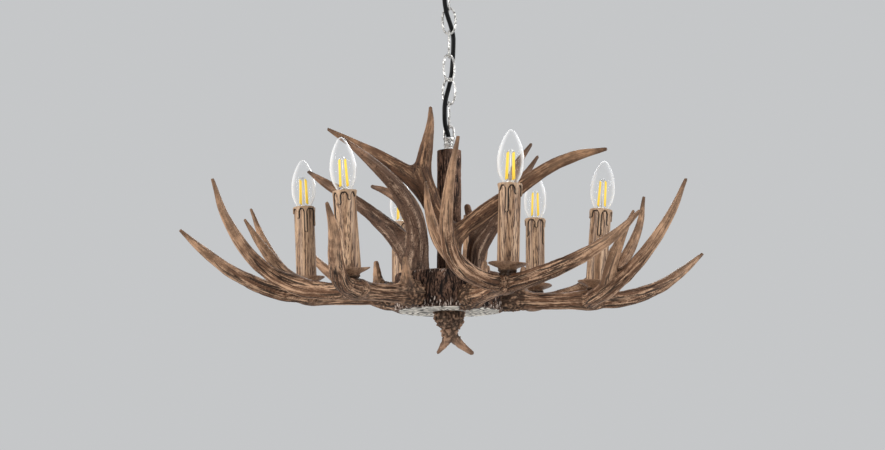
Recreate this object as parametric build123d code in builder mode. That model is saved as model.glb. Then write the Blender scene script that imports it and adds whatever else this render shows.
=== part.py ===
"""Antler chandelier: six cast antler arms and three upright antlers on a slice of log, with six candle lights,
hung from the ceiling on a twisted chain. Millimetres, +Z up, origin at the middle of the ceiling bracket's top."""

import math
import os

from build123d import *

os.makedirs("parts", exist_ok=True)

# Ceiling bracket: a steel strap bent into a hat, its two feet screwed to the ceiling
bracket_width = 20.0
bracket_thickness = 2.0
bracket_drop = 22.0
bridge_length = 60.0
slot_spacing = 84.0
slot_length = 14.0
slot_width = 5.0
foot_margin = 5.0

# Terminal block, where the house wires meet the cable
terminal_length = 26.0
terminal_width = 14.0
terminal_height = 11.0
terminal_edge = 1.5
terminal_screw = 3.6
terminal_well = 6.0
terminal_grid = (8.0, 7.0)

# Canopy: the pressed cup that hides the bracket
canopy_diameter = 124.0
canopy_depth = 42.0
canopy_lip = 5.0
canopy_wall = 1.2
canopy_floor_radius = 16.0
canopy_bulge = 10.5

# Flats that stand for a round: on rods and wire, on candles, on tubes and collars, and on the widest pieces
rod_sides = 6
candle_sides = 10
round_sides = 12
wide_sides = 20
link_steps = 6

# How far a cut runs on past the face that it opens
cut_over = 1.0

# Threaded tubes, which carry the load and let the cable through
tube_diameter = 10.0
tube_bore = 8.0
thread_gap = 0.1
thread_show = 2.0
thread_grip = 8.0
nut_width = 17.0
nut_height = 5.0

# Canopy loop: a screwed collar with a ring under it
ring_diameter = 36.0
ring_wire = 5.0
ring_collar_diameter = 16.0
ring_collar_length = 12.0

# Chain: each entry turns one link about the vertical, degrees from the picture plane
link_length = 41.3
link_width = 21.8
link_wire = 3.2
hang_gap = 0.3
link_turns = (90, 0, 90, 35, -20, 90)

# Stem loop, collar and the bark covered stem
loop_wire = 3.6
loop_width = 17.0
loop_height = 22.0
loop_base_thickness = 2.5
loop_base_rim = 0.6
cable_way = 1.8
collar_diameter = 16.0
collar_length = 16.0
collar_waist = 1.0
stem_diameter = 34.0
stem_length = 175.0
stem_edge = 1.5
window_height = 16.0
window_width = 4.0

# Hub: a slice of log, hollowed from below and closed by a thin slice
hub_radius = 76.0
hub_height = 52.0
hub_edge = 2.0
bark_swell = 0.9
cover_radius = 70.0
cover_thickness = 8.0
chamber_radius = 42.0
chamber_height = 30.0
cover_gap = 0.3
connector_length = 20.0
connector_width = 10.0
connector_height = 13.0
connector_edge = 2.0
connector_circle = 24.0

# Finial: the crown of an antler, which screws on and holds the cover up
finial_radius = 21.5
finial_waist = 9.5
finial_waist_drop = 30.0
finial_socket = 14.0

# Antlers
antler_sides = 8
burr_inset = 6.0
burr_height = 15.0
stud_diameter = 6.0
stud_gap = 0.2
stud_grip = 28.0
stud_tail = 8.0

# Candles
seat_reach = 134.0
seat_side = 2.0
pan_rise = 26.0
pan_radius = 26.0
pan_depth = 9.0
pan_wall = 1.4
pan_floor_radius = 16.0
pan_neck_radius = 11.0
pan_neck_taper = 1.5
neck_sunk = 8.0
sleeve_diameter = 29.0
sleeve_wall = 1.5
sleeve_length = 100.0
sleeve_sunk = 4.0
wax_rim_height = 5.0
wax_rim_thickness = 1.0
drip_width = 3.6
drip_lengths = (26.0, 12.0, 34.0, 17.0)
post_diameter = 8.0
post_gap = 0.2
post_root = 3.0
post_grip = 5.0
holder_length = 34.0
holder_recess = 2.0
holder_gap = 0.3
socket_depth = 27.0
cap_diameter = 13.4
cap_gap = 0.4
cap_length = 24.0
cap_tip = 4.0
bulb_radius = 17.5
bulb_length = 69.0
glass_wall = 1.2
filament_length = 36.0
filament_radius = 1.0
filament_circle = 2.6
glass_foot_radius = 4.2
glass_foot_height = 4.0

# Supply cable
cable_diameter = 6.5

# Levels, from the ceiling down
bridge_top = -bracket_drop + bracket_thickness
canopy_floor = -canopy_depth
ring_inner_radius = ring_diameter / 2 - ring_wire
ring_center = canopy_floor - ring_collar_length - ring_inner_radius
link_pitch = link_length - 2 * link_wire - hang_gap
first_link_top = ring_center - ring_inner_radius + hang_gap + link_wire
chain_foot = first_link_top - link_length - (len(link_turns) - 1) * link_pitch
loop_top = chain_foot + link_wire + hang_gap + loop_wire
loop_foot = loop_top - loop_height
stem_top = loop_foot - collar_length
hub_top = stem_top - stem_length
hub_bottom = hub_top - hub_height
cover_top = hub_bottom + cover_thickness
chamber_top = cover_top + chamber_height
tube_top = stem_top + collar_length - loop_base_thickness - 6.0
tube_foot = hub_bottom - finial_socket


def ring_planes(points):
    """Planes square to a branch at each of its points, turned alike so that its flutes don't twist."""
    chord = points[-1] - points[0]
    side = chord.cross(Vector(0, 0, 1))
    planes = []
    for i, point in enumerate(points):
        run = (points[min(i + 1, len(points) - 1)] - points[max(i - 1, 0)]).normalized()
        planes.append(Plane(origin=point, x_dir=side - run * side.dot(run), z_dir=run))
    return planes


def grow(frame, size, stations):
    """Loft one tapering, fluted branch into the open part, through (x, y, z, radius) stations in a frame."""
    points = [frame.from_local_coords(Vector(x, y, z) * size) for x, y, z, radius in stations]
    rings = []
    for plane, (x, y, z, radius) in zip(ring_planes(points), stations):
        with BuildSketch(plane) as ring:
            RegularPolygon(radius * size, antler_sides)
        rings.append(ring.sketch)
    loft(rings, ruled=True)


def turned(plane, outline, sides=round_sides, mode=Mode.ADD):
    """Add or cut a round body along a plane's axis in the open part, band by band through rising
    (height, radius) pairs."""
    for (low, low_radius), (high, high_radius) in zip(outline, outline[1:]):
        with BuildSketch(plane.offset(low)) as ring:
            RegularPolygon(low_radius, sides)
        slope = math.atan2((low_radius - high_radius) * math.cos(math.pi / sides), high - low)
        extrude(ring.sketch, amount=high - low, taper=math.degrees(slope), mode=mode)


def drill(plane, diameter, start, length, sides=round_sides):
    """Cut a round hole along a plane's axis in the open part."""
    turned(plane, ((start, diameter / 2), (start + length, diameter / 2)), sides, Mode.SUBTRACT)


def sweep_wire(plane, points, diameter):
    """Bend wire along a closed or open line of points in a plane, in the open part."""
    with BuildLine(plane) as path:
        Polyline(*points)
    start, after = (plane.from_local_coords(Vector(*point, 0)) for point in points[:2])
    with BuildSketch(Plane(origin=start, x_dir=plane.x_dir, z_dir=after - start)) as section:
        RegularPolygon(diameter / 2, rod_sides, major_radius=False, rotation=180 / rod_sides)
    sweep(section.sketch, path=path.wire(), transition=Transition.RIGHT)


def half_ring(center, radius, first, steps):
    """Points of a half circle about (0, center), worked out so that its flats lie on the true round."""
    spread = radius / math.cos(math.pi / steps / 2)
    angles = [first + math.pi * (i + 0.5) / steps for i in range(steps)]
    return [(spread * math.cos(angle), center + spread * math.sin(angle)) for angle in angles]


def write(part, name):
    part.label = name
    export_step(part, f"parts/{name}.step")


# ---------------------------------------------------------------- ceiling bracket, nuts and tubes
foot_reach = slot_spacing / 2 + slot_length / 2 + foot_margin
bridge_reach = bridge_length / 2
with BuildPart() as bracket:
    with BuildSketch(Plane.XZ):
        with BuildLine():
            Polyline(
                (-foot_reach, 0),
                (-bridge_reach, 0),
                (-bridge_reach, -bracket_drop + bracket_thickness),
                (bridge_reach, -bracket_drop + bracket_thickness),
                (bridge_reach, 0),
                (foot_reach, 0),
                (foot_reach, -bracket_thickness),
                (bridge_reach + bracket_thickness, -bracket_thickness),
                (bridge_reach + bracket_thickness, -bracket_drop),
                (-bridge_reach - bracket_thickness, -bracket_drop),
                (-bridge_reach - bracket_thickness, -bracket_thickness),
                (-foot_reach, -bracket_thickness),
                close=True,
            )
        make_face()
    extrude(amount=bracket_width / 2, both=True)
    with BuildSketch(Plane.XY):
        with GridLocations(slot_spacing, 0, 2, 1):
            SlotOverall(slot_length, slot_width)
    extrude(amount=-2 * bracket_thickness, mode=Mode.SUBTRACT)
    drill(Plane.XY, tube_diameter + 2 * thread_gap, bridge_top - 2 * bracket_thickness, 4 * bracket_thickness)
write(bracket.part, "ceiling_bracket")

nipple_top = bridge_top + thread_show
nipple_foot = canopy_floor - thread_grip
with BuildPart() as nipple:
    with BuildSketch(Plane.XY.offset(nipple_foot)):
        RegularPolygon(tube_diameter / 2, round_sides)
        RegularPolygon(tube_bore / 2, round_sides, mode=Mode.SUBTRACT)
    extrude(amount=nipple_top - nipple_foot)
write(nipple.part, "canopy_nipple")

with BuildPart() as lock_nut:
    with BuildSketch(Plane.XY.offset(-bracket_drop - nut_height)):
        RegularPolygon(nut_width / 2, 6, major_radius=False)
        RegularPolygon(tube_diameter / 2 + thread_gap, round_sides, mode=Mode.SUBTRACT)
    extrude(amount=nut_height)
write(lock_nut.part, "bracket_lock_nut")

with BuildPart() as terminal:
    with BuildSketch(Plane.XY.offset(nipple_top)):
        Rectangle(terminal_length, terminal_width)
    extrude(amount=terminal_height)
    chamfer(terminal.edges().filter_by(Axis.Z), terminal_edge)
    with BuildSketch(Plane.XY.offset(nipple_top + terminal_height)):
        with GridLocations(*terminal_grid, 3, 2):
            RegularPolygon(terminal_screw / 2, rod_sides)
    extrude(amount=-terminal_well, mode=Mode.SUBTRACT)
write(terminal.part, "terminal_block")

# ---------------------------------------------------------------- canopy and its loop
canopy_radius = canopy_diameter / 2
dome_steps = 3
dome_run = canopy_radius - canopy_floor_radius
dome_drop = canopy_depth - canopy_lip
dome_chord = math.hypot(dome_run, dome_drop)
dome = []
for i in range(dome_steps + 1):
    share = 1 - i / dome_steps
    bow = 4 * canopy_bulge * share * (1 - share) / dome_chord
    dome.append((-canopy_lip - dome_drop * share - dome_run * bow, canopy_radius - dome_run * share + dome_drop * bow))
with BuildPart() as canopy:
    turned(Plane.XY, dome + [(0, canopy_radius)], wide_sides)
    inside = [(height + canopy_wall, radius - canopy_wall) for height, radius in dome]
    turned(Plane.XY, inside + [(canopy_wall, canopy_radius - canopy_wall)], wide_sides, Mode.SUBTRACT)
    drill(Plane.XY, tube_diameter + 2 * thread_gap, canopy_floor - canopy_wall, 3 * canopy_wall)
write(canopy.part, "ceiling_canopy")

collar_edge = 1.2
ring_bore_gap = 2.0
ring_steps = 8
with BuildPart() as canopy_loop:
    collar_foot = ring_center + ring_inner_radius
    collar_outline = (
        (collar_foot, ring_collar_diameter / 2),
        (canopy_floor - collar_edge, ring_collar_diameter / 2),
        (canopy_floor, ring_collar_diameter / 2 - collar_edge),
    )
    turned(Plane.XY, collar_outline)
    ring_middle = ring_inner_radius + ring_wire / 2
    ring_path = half_ring(0, ring_middle, 0, ring_steps) + half_ring(0, ring_middle, math.pi, ring_steps)
    seam = (ring_path[0][0], 0)
    sweep_wire(Plane(origin=(0, 0, ring_center), x_dir=(1, 0, 0), z_dir=(0, -1, 0)), [seam, *ring_path, seam], ring_wire)
    drill(Plane.XY, tube_diameter + 2 * thread_gap, nipple_foot, canopy_floor - nipple_foot)
    drill(Plane.XY, tube_bore, ring_center + ring_bore_gap, nipple_foot - ring_center)
write(canopy_loop.part, "canopy_loop")

# ---------------------------------------------------------------- chain
link_middle = (link_width - link_wire) / 2
link_straight = link_length - link_width


def chain_link(center, turn):
    """One link: a straight sided ring of wire that hangs in a plane turned about the vertical."""
    across = Vector(math.cos(math.radians(turn)), math.sin(math.radians(turn)), 0)
    plane = Plane(origin=(0, 0, center), x_dir=across, z_dir=across.cross(Vector(0, 0, 1)))
    top = half_ring(link_straight / 2, link_middle, 0, link_steps)
    foot = half_ring(-link_straight / 2, link_middle, math.pi, link_steps)
    seam = (link_middle, 0)
    with BuildPart() as link:
        sweep_wire(plane, [seam, *top, *foot, seam], link_wire)
    return link.part


for i, turn in enumerate(link_turns):
    write(chain_link(first_link_top - link_length / 2 - i * link_pitch, turn), f"chain_link_{i + 1}")

# ---------------------------------------------------------------- stem loop, collar, stem and tube
loop_leg = (loop_width - loop_wire) / 2
loop_arch = loop_top - loop_wire / 2 - loop_leg
loop_root = loop_foot + loop_base_thickness / 4
loop_base_radius = collar_diameter / 2 + loop_base_rim
with BuildPart() as stem_loop:
    arch = half_ring(loop_arch, loop_leg, 0, link_steps)
    sweep_wire(Plane.XZ, [(loop_leg, loop_root), *arch, (-loop_leg, loop_root)], loop_wire)
    turned(Plane.XY, ((loop_foot, loop_base_radius), (loop_foot + loop_base_thickness, loop_base_radius)))
    drill(Plane.XY, tube_bore + 2 * cable_way, loop_foot - cut_over, loop_base_thickness + 2 * cut_over)
write(stem_loop.part, "stem_loop")

collar_radius = collar_diameter / 2
with BuildPart() as collar:
    collar_outline = (
        (stem_top, collar_radius),
        (stem_top + 0.3 * collar_length, collar_radius),
        (stem_top + 0.4 * collar_length, collar_radius - collar_waist),
        (stem_top + 0.6 * collar_length, collar_radius - collar_waist),
        (stem_top + 0.7 * collar_length, collar_radius),
        (loop_foot, collar_radius),
    )
    turned(Plane.XY, collar_outline)
    drill(Plane.XY, tube_diameter + 2 * thread_gap, stem_top - cut_over, collar_length + 2 * cut_over)
write(collar.part, "stem_collar")


def bark_outline(radius):
    """Draw the uneven outline of bark: a round that swells and shrinks by a rule."""
    points = []
    for i in range(wide_sides):
        angle = 2 * math.pi * i / wide_sides
        reach = radius + bark_swell * (math.sin(3 * angle) + math.sin(7 * angle)) / 2
        points.append((reach * math.cos(angle), reach * math.sin(angle)))
    Polygon(*points, align=None)


with BuildPart() as stem:
    with BuildSketch(Plane.XY.offset(hub_top)):
        bark_outline(stem_diameter / 2)
    extrude(amount=stem_length)
    chamfer(stem.faces().sort_by(Axis.Z)[-1].edges(), stem_edge)
    drill(Plane.XY, tube_diameter + 2 * thread_gap, hub_top - cut_over, stem_length + 2 * cut_over)
write(stem.part, "stem_sleeve")

with BuildPart() as stem_tube:
    with BuildSketch(Plane.XY.offset(tube_foot)):
        RegularPolygon(tube_diameter / 2, round_sides)
        RegularPolygon(tube_bore / 2, round_sides, mode=Mode.SUBTRACT)
    extrude(amount=tube_top - tube_foot)
    with BuildSketch(Plane.XZ.offset(tube_diameter)):
        with Locations((0, cover_top + window_height / 2 + connector_edge)):
            Rectangle(window_width, window_height)
    extrude(amount=-2 * tube_diameter, mode=Mode.SUBTRACT)
write(stem_tube.part, "stem_tube")

# ---------------------------------------------------------------- hub, cover and what the chamber holds
burr_radius = hub_radius - burr_inset
# Each arm: turn about the stem, lift, pitch, roll, size, and how far its candle leans out
arm_settings = (
    (21.0, -2.0, 2.0, -3.5, 0.95, 4.5),
    (83.5, 2.0, -1.5, 1.5, 0.97, 5.0),
    (140.5, 13.0, 1.5, -2.0, 1.01, 1.0),
    (199.0, 8.0, 4.0, 4.0, 1.08, 2.0),
    (262.5, 10.0, 0.0, 0.5, 0.97, 3.0),
    (321.0, 4.0, -2.5, 2.5, 0.98, 7.0),
)
# Each upright antler's foot on the hub: x, y
foot_places = ((8.0, -36.0), (-46.0, -36.0), (36.0, 8.0))


def arm_frame(turn, lift, pitch, roll):
    """The frame of one arm at its burr: x out from the hub, z up, pitched and then rolled about x."""
    angle, tip, bank = (math.radians(value) for value in (turn, pitch, roll))
    outward = Vector(math.sin(angle), -math.cos(angle), 0)
    sideways = Vector(math.cos(angle), math.sin(angle), 0)
    up = Vector(0, 0, 1)
    origin = outward * burr_radius + up * (hub_bottom + burr_height + lift)
    x_dir = outward * math.cos(tip) + up * math.sin(tip)
    tipped_up = up * math.cos(tip) - outward * math.sin(tip)
    return Plane(origin=origin, x_dir=x_dir, z_dir=tipped_up * math.cos(bank) - sideways * math.sin(bank))


arm_frames = [arm_frame(*setting[:4]) for setting in arm_settings]
stud_planes = [Plane(origin=frame.origin, x_dir=frame.y_dir, z_dir=frame.x_dir) for frame in arm_frames]
stud_start = chamber_radius - burr_radius + stud_tail
foot_planes = [Plane(origin=(x, y, hub_top)) for x, y in foot_places]
foot_stud_start = chamber_top - hub_top + cut_over

with BuildPart() as hub:
    with BuildSketch(Plane.XY.offset(hub_bottom)):
        bark_outline(hub_radius)
    extrude(amount=hub_height)
    chamfer(hub.edges().filter_by(Axis.Z, reverse=True), hub_edge)
    drill(Plane.XY, 2 * (cover_radius + cover_gap), hub_bottom - cut_over, cover_thickness + cut_over, wide_sides)
    drill(Plane.XY, 2 * chamber_radius, cover_top - cut_over, chamber_height + cut_over)
    drill(Plane.XY, tube_diameter + 2 * thread_gap, chamber_top - cut_over, hub_height)
    for plane in stud_planes:
        drill(plane, stud_diameter + 2 * stud_gap, stud_start - stud_tail, burr_radius, rod_sides)
    for plane in foot_planes:
        drill(plane, stud_diameter + 2 * stud_gap, foot_stud_start - 2 * cut_over, hub_height, rod_sides)
write(hub.part, "hub_log_slice")

with BuildPart() as cover:
    turned(Plane.XY, ((hub_bottom, cover_radius), (cover_top, cover_radius)), wide_sides)
    drill(Plane.XY, tube_diameter + 2 * thread_gap, hub_bottom - cut_over, cover_thickness + 2 * cut_over)
write(cover.part, "hub_cover")

with BuildPart() as hub_nut:
    with BuildSketch(Plane.XY.offset(chamber_top - nut_height)):
        RegularPolygon(nut_width / 2, 6, major_radius=False)
        RegularPolygon(tube_diameter / 2 + thread_gap, round_sides, mode=Mode.SUBTRACT)
    extrude(amount=nut_height)
write(hub_nut.part, "hub_nut")

with BuildPart() as connectors:
    with BuildSketch(Plane.XY.offset(cover_top)):
        with PolarLocations(connector_circle, 3, start_angle=30):
            Rectangle(connector_width, connector_length)
    extrude(amount=connector_height)
    chamfer(connectors.faces().sort_by(Axis.Z)[-1].edges(), connector_edge)
write(connectors.part, "wire_connectors")

with BuildPart() as studs:
    for plane in stud_planes:
        turned(plane, ((stud_start, stud_diameter / 2), (burr_inset + stud_grip, stud_diameter / 2)), rod_sides)
    for plane in foot_planes:
        turned(plane, ((foot_stud_start, stud_diameter / 2), (stud_grip, stud_diameter / 2)), rod_sides)
write(studs.part, "antler_studs")

# ---------------------------------------------------------------- finial
finial_frame = Plane(origin=(0, 0, hub_bottom))
waist = -finial_waist_drop
left_prong = ((1, 0, waist + 7, 9), (-2, 0, waist - 6, 8), (-8, 1, waist - 17, 5.5), (-14, 2, waist - 25, 2))
right_prong = ((1, 0, waist + 7, 9), (6, 0, waist - 5, 8), (17, -1, waist - 16, 6), (31, -3, waist - 27, 2))
with BuildPart() as finial:
    head = ((waist, finial_waist), (-13, 0.68 * finial_radius), (-5, finial_radius), (0, 0.94 * finial_radius))
    turned(finial_frame, head, antler_sides)
    grow(finial_frame, 1.0, left_prong)
    grow(finial_frame, 1.0, right_prong)
    drill(finial_frame, tube_diameter + 2 * thread_gap, -finial_socket, finial_socket + cut_over)
write(finial.part, "finial")

# ---------------------------------------------------------------- the six arms, all from one casting
beam = ((-16, 0, 0, 13.5), (22, 1, 0, 13), (60, 1, -2, 12), (98, 0, -1, 12), (134, 0, 0, 12))
burr = ((-16, 0, 0, 12), (-2, 0, 0, 15), (12, 0, 0, 16.5), (26, 1, 0, 11.5))
low_tine = ((112, 0, 0, 10), (170, 25, 2, 11.5), (220, 68, 19, 9.5), (260, 98, 47, 6.5), (290, 112, 77, 1.4))
tall_tine = (
    (124, 10, 0, 9),
    (136, -40, 2, 12),
    (163, -85, 17, 11),
    (198, -112, 50, 9),
    (233, -123, 103, 6),
    (254, -123, 152, 1.4),
)
short_tine = ((150, -66, 8, 8), (156, -103, 37, 8.5), (169, -125, 72, 6), (185, -138, 107, 1.4))
brow_tine = ((26, 5, 2, 7.5), (30, 9, 28, 4.6), (32, 10, 50, 1.4))

candle_planes = []
arms = []
for frame, plane, (turn, lift, pitch, roll, size, lean) in zip(arm_frames, stud_planes, arm_settings):
    seat = frame.from_local_coords(Vector(seat_reach, seat_side, 0) * size)
    angle, tilt = math.radians(turn), math.radians(lean)
    outward = Vector(math.sin(angle), -math.cos(angle), 0)
    axis = Vector(0, 0, 1) * math.cos(tilt) + outward * math.sin(tilt)
    candle = Plane(origin=seat + axis * pan_rise, x_dir=outward.cross(axis), z_dir=axis)
    candle_planes.append(candle)
    with BuildPart() as arm:
        for stations in (beam, burr, low_tine, tall_tine, short_tine, brow_tine):
            grow(frame, size, stations)
        with BuildSketch(Plane.XY.offset(hub_bottom - burr_height)) as drum:
            bark_outline(hub_radius)
        extrude(drum.sketch, amount=burr_height + hub_height, mode=Mode.SUBTRACT)
        drill(plane, stud_diameter + 2 * stud_gap, 0, burr_inset + stud_grip + cut_over, rod_sides)
        drill(candle, post_diameter + 2 * post_gap, -pan_rise + post_root, pan_rise, rod_sides)
    arms.append(arm.part)
for i, arm_part in enumerate(arms):
    write(arm_part, f"lower_antler_{i + 1}")

# ---------------------------------------------------------------- the three upright antlers
crotch_antler = (
    ((8, -36, -8, 12), (6, -36, 15, 11.5), (2, -35, 40, 12), (-8, -34, 68, 11.5)),
    ((-2, -35, 46, 9), (-14, -33, 74, 11.5), (-28, -30, 104, 13), (-40, -28, 134, 12.5)),
    ((-30, -30, 112, 10), (-54, -27, 142, 12), (-92, -24, 168, 9.5), (-134, -19, 190, 6.8), (-172, -14, 209, 1.4)),
    ((-38, -28, 128, 9), (-34, -27, 160, 10.5), (-29, -25, 190, 7.5), (-26, -24, 215, 5), (-26, -22, 242, 1.4)),
    ((0, -36, 36, 9), (20, -35, 58, 11), (42, -36, 76, 12), (76, -40, 100, 11), (131, -46, 139, 9),
     (172, -50, 157, 7.5), (213, -54, 166, 1.8)),
)
forked_antler = (
    ((-46, -36, -8, 17), (-45, -38, 12, 16), (-45, -46, 42, 15), (-56, -54, 75, 14.5), (-78, -66, 110, 12),
     (-108, -84, 140, 8.5), (-143, -105, 170, 1.4)),
    ((-46, -34, 2, 13), (-66, -26, 42, 15), (-103, -16, 79, 10.5), (-145, -9, 111, 8.4), (-171, -6, 127, 6.5),
     (-196, -4, 144, 1.6)),
    ((-62, -54, 90, 8), (-74, -48, 108, 6), (-88, -42, 120, 4.5), (-100, -36, 127, 1.2)),
)
rear_antler = (
    ((36, 8, -8, 13), (36, 8, 12, 12.5), (39, 9, 35, 12.5), (54, 12, 61, 11.5), (78, 18, 99, 8.5),
     (103, 24, 137, 5), (126, 30, 173, 1.2)),
    ((68, 14, 80, 8), (84, 20, 122, 7.4), (96, 28, 160, 5.6), (117, 36, 192, 1.8)),
)
upright_frame = Plane(origin=(0, 0, hub_top))
for i, (branches, plane) in enumerate(zip((crotch_antler, forked_antler, rear_antler), foot_planes)):
    with BuildPart() as upright:
        for stations in branches:
            grow(upright_frame, 1.0, stations)
        with BuildSketch(Plane.XY.offset(hub_bottom)) as drum:
            Circle(hub_radius + burr_height)
        extrude(drum.sketch, amount=hub_height, mode=Mode.SUBTRACT)
        drill(plane, stud_diameter + 2 * stud_gap, -cut_over, stud_grip + 2 * cut_over, rod_sides)
    write(upright.part, f"upper_antler_{i + 1}")

# ---------------------------------------------------------------- candles
socket_foot = sleeve_length - holder_recess - holder_length
socket_top = socket_foot + holder_length
holder_radius = sleeve_diameter / 2 - sleeve_wall - holder_gap
sleeve_radius = sleeve_diameter / 2
wax_radius = sleeve_radius + wax_rim_thickness
wax_foot = sleeve_length - wax_rim_height
# The bulb's flame shape: shares of its length and of its widest radius
flame = ((0, 0.55), (0.17, 0.88), (0.37, 1.0), (0.61, 0.86), (0.85, 0.5), (1.0, 0.08))
for i, (candle, arm_part) in enumerate(zip(candle_planes, arms)):
    with BuildPart() as pan:
        neck = ((-pan_rise + neck_sunk, pan_neck_radius - pan_neck_taper), (-pan_depth + cut_over, pan_neck_radius))
        turned(candle, neck, candle_sides)
        dish = ((-pan_depth, pan_floor_radius + pan_wall), (-pan_wall, pan_radius), (0, pan_radius))
        turned(candle, dish, candle_sides)
        turned(candle, ((-sleeve_sunk, pan_floor_radius), (cut_over, pan_radius)), candle_sides, Mode.SUBTRACT)
        drill(candle, post_diameter + 2 * post_gap, -pan_rise, pan_rise, rod_sides)
        add(arm_part, mode=Mode.SUBTRACT)
    write(pan.part.solids().sort_by(SortBy.VOLUME)[-1], f"drip_pan_{i + 1}")

    with BuildPart() as sleeve:
        sleeve_outline = (
            (-sleeve_sunk, sleeve_radius),
            (wax_foot - wax_rim_thickness, sleeve_radius),
            (wax_foot, wax_radius),
            (sleeve_length - wax_rim_thickness, wax_radius),
            (sleeve_length, sleeve_radius),
        )
        turned(candle, sleeve_outline, candle_sides)
        for turn, length in enumerate(drip_lengths):
            with BuildSketch(candle.offset(sleeve_length - length)):
                with PolarLocations(sleeve_radius, 1, start_angle=180 / candle_sides + 72 * turn):
                    Rectangle(2 * wax_rim_thickness, drip_width)
            extrude(amount=length - wax_rim_height / 2)
        bore_length = sleeve_sunk + sleeve_length + 2 * cut_over
        drill(candle, sleeve_diameter - 2 * sleeve_wall, -sleeve_sunk - cut_over, bore_length, candle_sides)
    write(sleeve.part, f"candle_sleeve_{i + 1}")

    with BuildPart() as holder:
        turned(candle, ((socket_foot, holder_radius), (socket_top, holder_radius)), candle_sides)
        drill(candle, cap_diameter + 2 * cap_gap, socket_top - socket_depth, socket_depth + cut_over, rod_sides)
        drill(candle, post_diameter + 2 * post_gap, socket_foot - cut_over, post_grip + 2 * cut_over, rod_sides)
    write(holder.part, f"lamp_holder_{i + 1}")

    with BuildPart() as bulb:
        skin = [(sleeve_length + high * bulb_length, wide * bulb_radius) for high, wide in flame]
        turned(candle, skin, candle_sides)
        hollow = [(sleeve_length + max(high * bulb_length, glass_wall), wide * bulb_radius - glass_wall)
                  for high, wide in flame[:-1]]
        hollow.append((sleeve_length + 0.93 * bulb_length, 0.12 * bulb_radius))
        turned(candle, hollow, candle_sides, Mode.SUBTRACT)
    write(bulb.part, f"bulb_{i + 1}")

with BuildPart() as posts:
    for candle in candle_planes:
        ends = (-pan_rise + post_root, socket_foot + post_grip)
        turned(candle, [(end, post_diameter / 2) for end in ends], rod_sides)
write(posts.part, "candle_posts")

with BuildPart() as caps:
    for candle in candle_planes:
        shoulder = sleeve_length - cap_length + cap_tip
        cap_outline = ((sleeve_length - cap_length, cap_diameter / 4), (shoulder, cap_diameter / 2),
                       (sleeve_length, cap_diameter / 2))
        turned(candle, cap_outline, rod_sides)
write(caps.part, "bulb_caps")

with BuildPart() as filaments:
    for candle in candle_planes:
        foot = sleeve_length + glass_wall
        with BuildSketch(candle.offset(foot)):
            RegularPolygon(glass_foot_radius, 4)
        extrude(amount=glass_foot_height)
        with BuildSketch(candle.offset(foot + glass_foot_height)):
            with PolarLocations(filament_circle, 4, start_angle=45):
                Rectangle(2 * filament_radius, 2 * filament_radius)
        extrude(amount=filament_length)
write(filaments.part, "bulb_filaments")

# ---------------------------------------------------------------- supply cable, woven through the chain
cable_route = (
    (0, 0, nipple_top),
    (0, 0, -55),
    (-4.5, -6, -69),
    (-6.6, -7.2, -84),
    (-6.4, -6.4, -114),
    (6.4, 6.4, -148),
    (6.3, 6.6, -168),
    (5.2, 10.4, -189),
    (3.6, 11, -212),
    (-6.2, -4.6, -252),
    (-6.4, -7.2, -271),
    (-5.9, -7.4, -286),
    (-0.9, -2.3, -299),
    (0, 0, -312),
    (0, 0, hub_bottom + 20),
)
route = [Vector(*point) for point in cable_route]
runs = [after - before for before, after in zip(route, route[1:])]
bends = []
for before, after in zip(runs, runs[1:]):
    half_turn = math.radians(before.get_angle(after)) / 2
    bends.append(0.45 * min(before.length, after.length) / math.tan(half_turn))
with BuildPart() as cable:
    with BuildLine() as line:
        FilletPolyline(*cable_route, radius=bends)
    with BuildSketch(Plane(origin=route[0], z_dir=runs[0])) as section:
        RegularPolygon(cable_diameter / 2, rod_sides)
    sweep(section.sketch, path=line.wire())
write(cable.part, "supply_cable")
print("cable bends, radii in mm:", [round(bend) for bend in bends])
print("cable length", round(line.wire().length, 1), "volume over section x length",
      round(cable.part.volume / (section.sketch.area * line.wire().length), 4))
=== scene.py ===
"""Antler chandelier: the look of every piece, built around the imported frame. Metres, +Z up."""

import math

import bpy
import numpy as np
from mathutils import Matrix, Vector


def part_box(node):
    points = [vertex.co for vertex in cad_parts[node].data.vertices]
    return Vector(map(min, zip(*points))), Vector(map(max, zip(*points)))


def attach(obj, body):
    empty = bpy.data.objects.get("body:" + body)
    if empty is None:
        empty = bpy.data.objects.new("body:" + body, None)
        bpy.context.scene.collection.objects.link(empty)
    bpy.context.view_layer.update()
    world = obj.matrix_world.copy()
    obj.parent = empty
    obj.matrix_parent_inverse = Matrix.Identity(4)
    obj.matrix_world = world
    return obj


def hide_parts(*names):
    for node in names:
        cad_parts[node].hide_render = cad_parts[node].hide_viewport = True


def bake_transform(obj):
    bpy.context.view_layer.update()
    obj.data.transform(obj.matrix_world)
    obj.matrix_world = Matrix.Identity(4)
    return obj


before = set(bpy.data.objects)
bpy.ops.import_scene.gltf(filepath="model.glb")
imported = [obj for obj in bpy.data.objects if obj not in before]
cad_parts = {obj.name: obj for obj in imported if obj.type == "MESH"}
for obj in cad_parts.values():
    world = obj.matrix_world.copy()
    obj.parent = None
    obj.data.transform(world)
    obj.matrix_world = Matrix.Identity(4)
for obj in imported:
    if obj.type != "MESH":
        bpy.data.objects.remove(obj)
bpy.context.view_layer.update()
mm = 0.001


# ---- Room ------------------------------------------------------------------------------------------
# A pale floor well below the light, a pale room round it and three soft lamps. The camera stands low in
# front, looking a little up, as in the photograph: 8.9 degrees of view each side of its axis, up and down.
def put(name, data):
    """A new object in the scene."""
    made = bpy.data.objects.new(name, data)
    bpy.context.scene.collection.objects.link(made)
    return made


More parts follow.
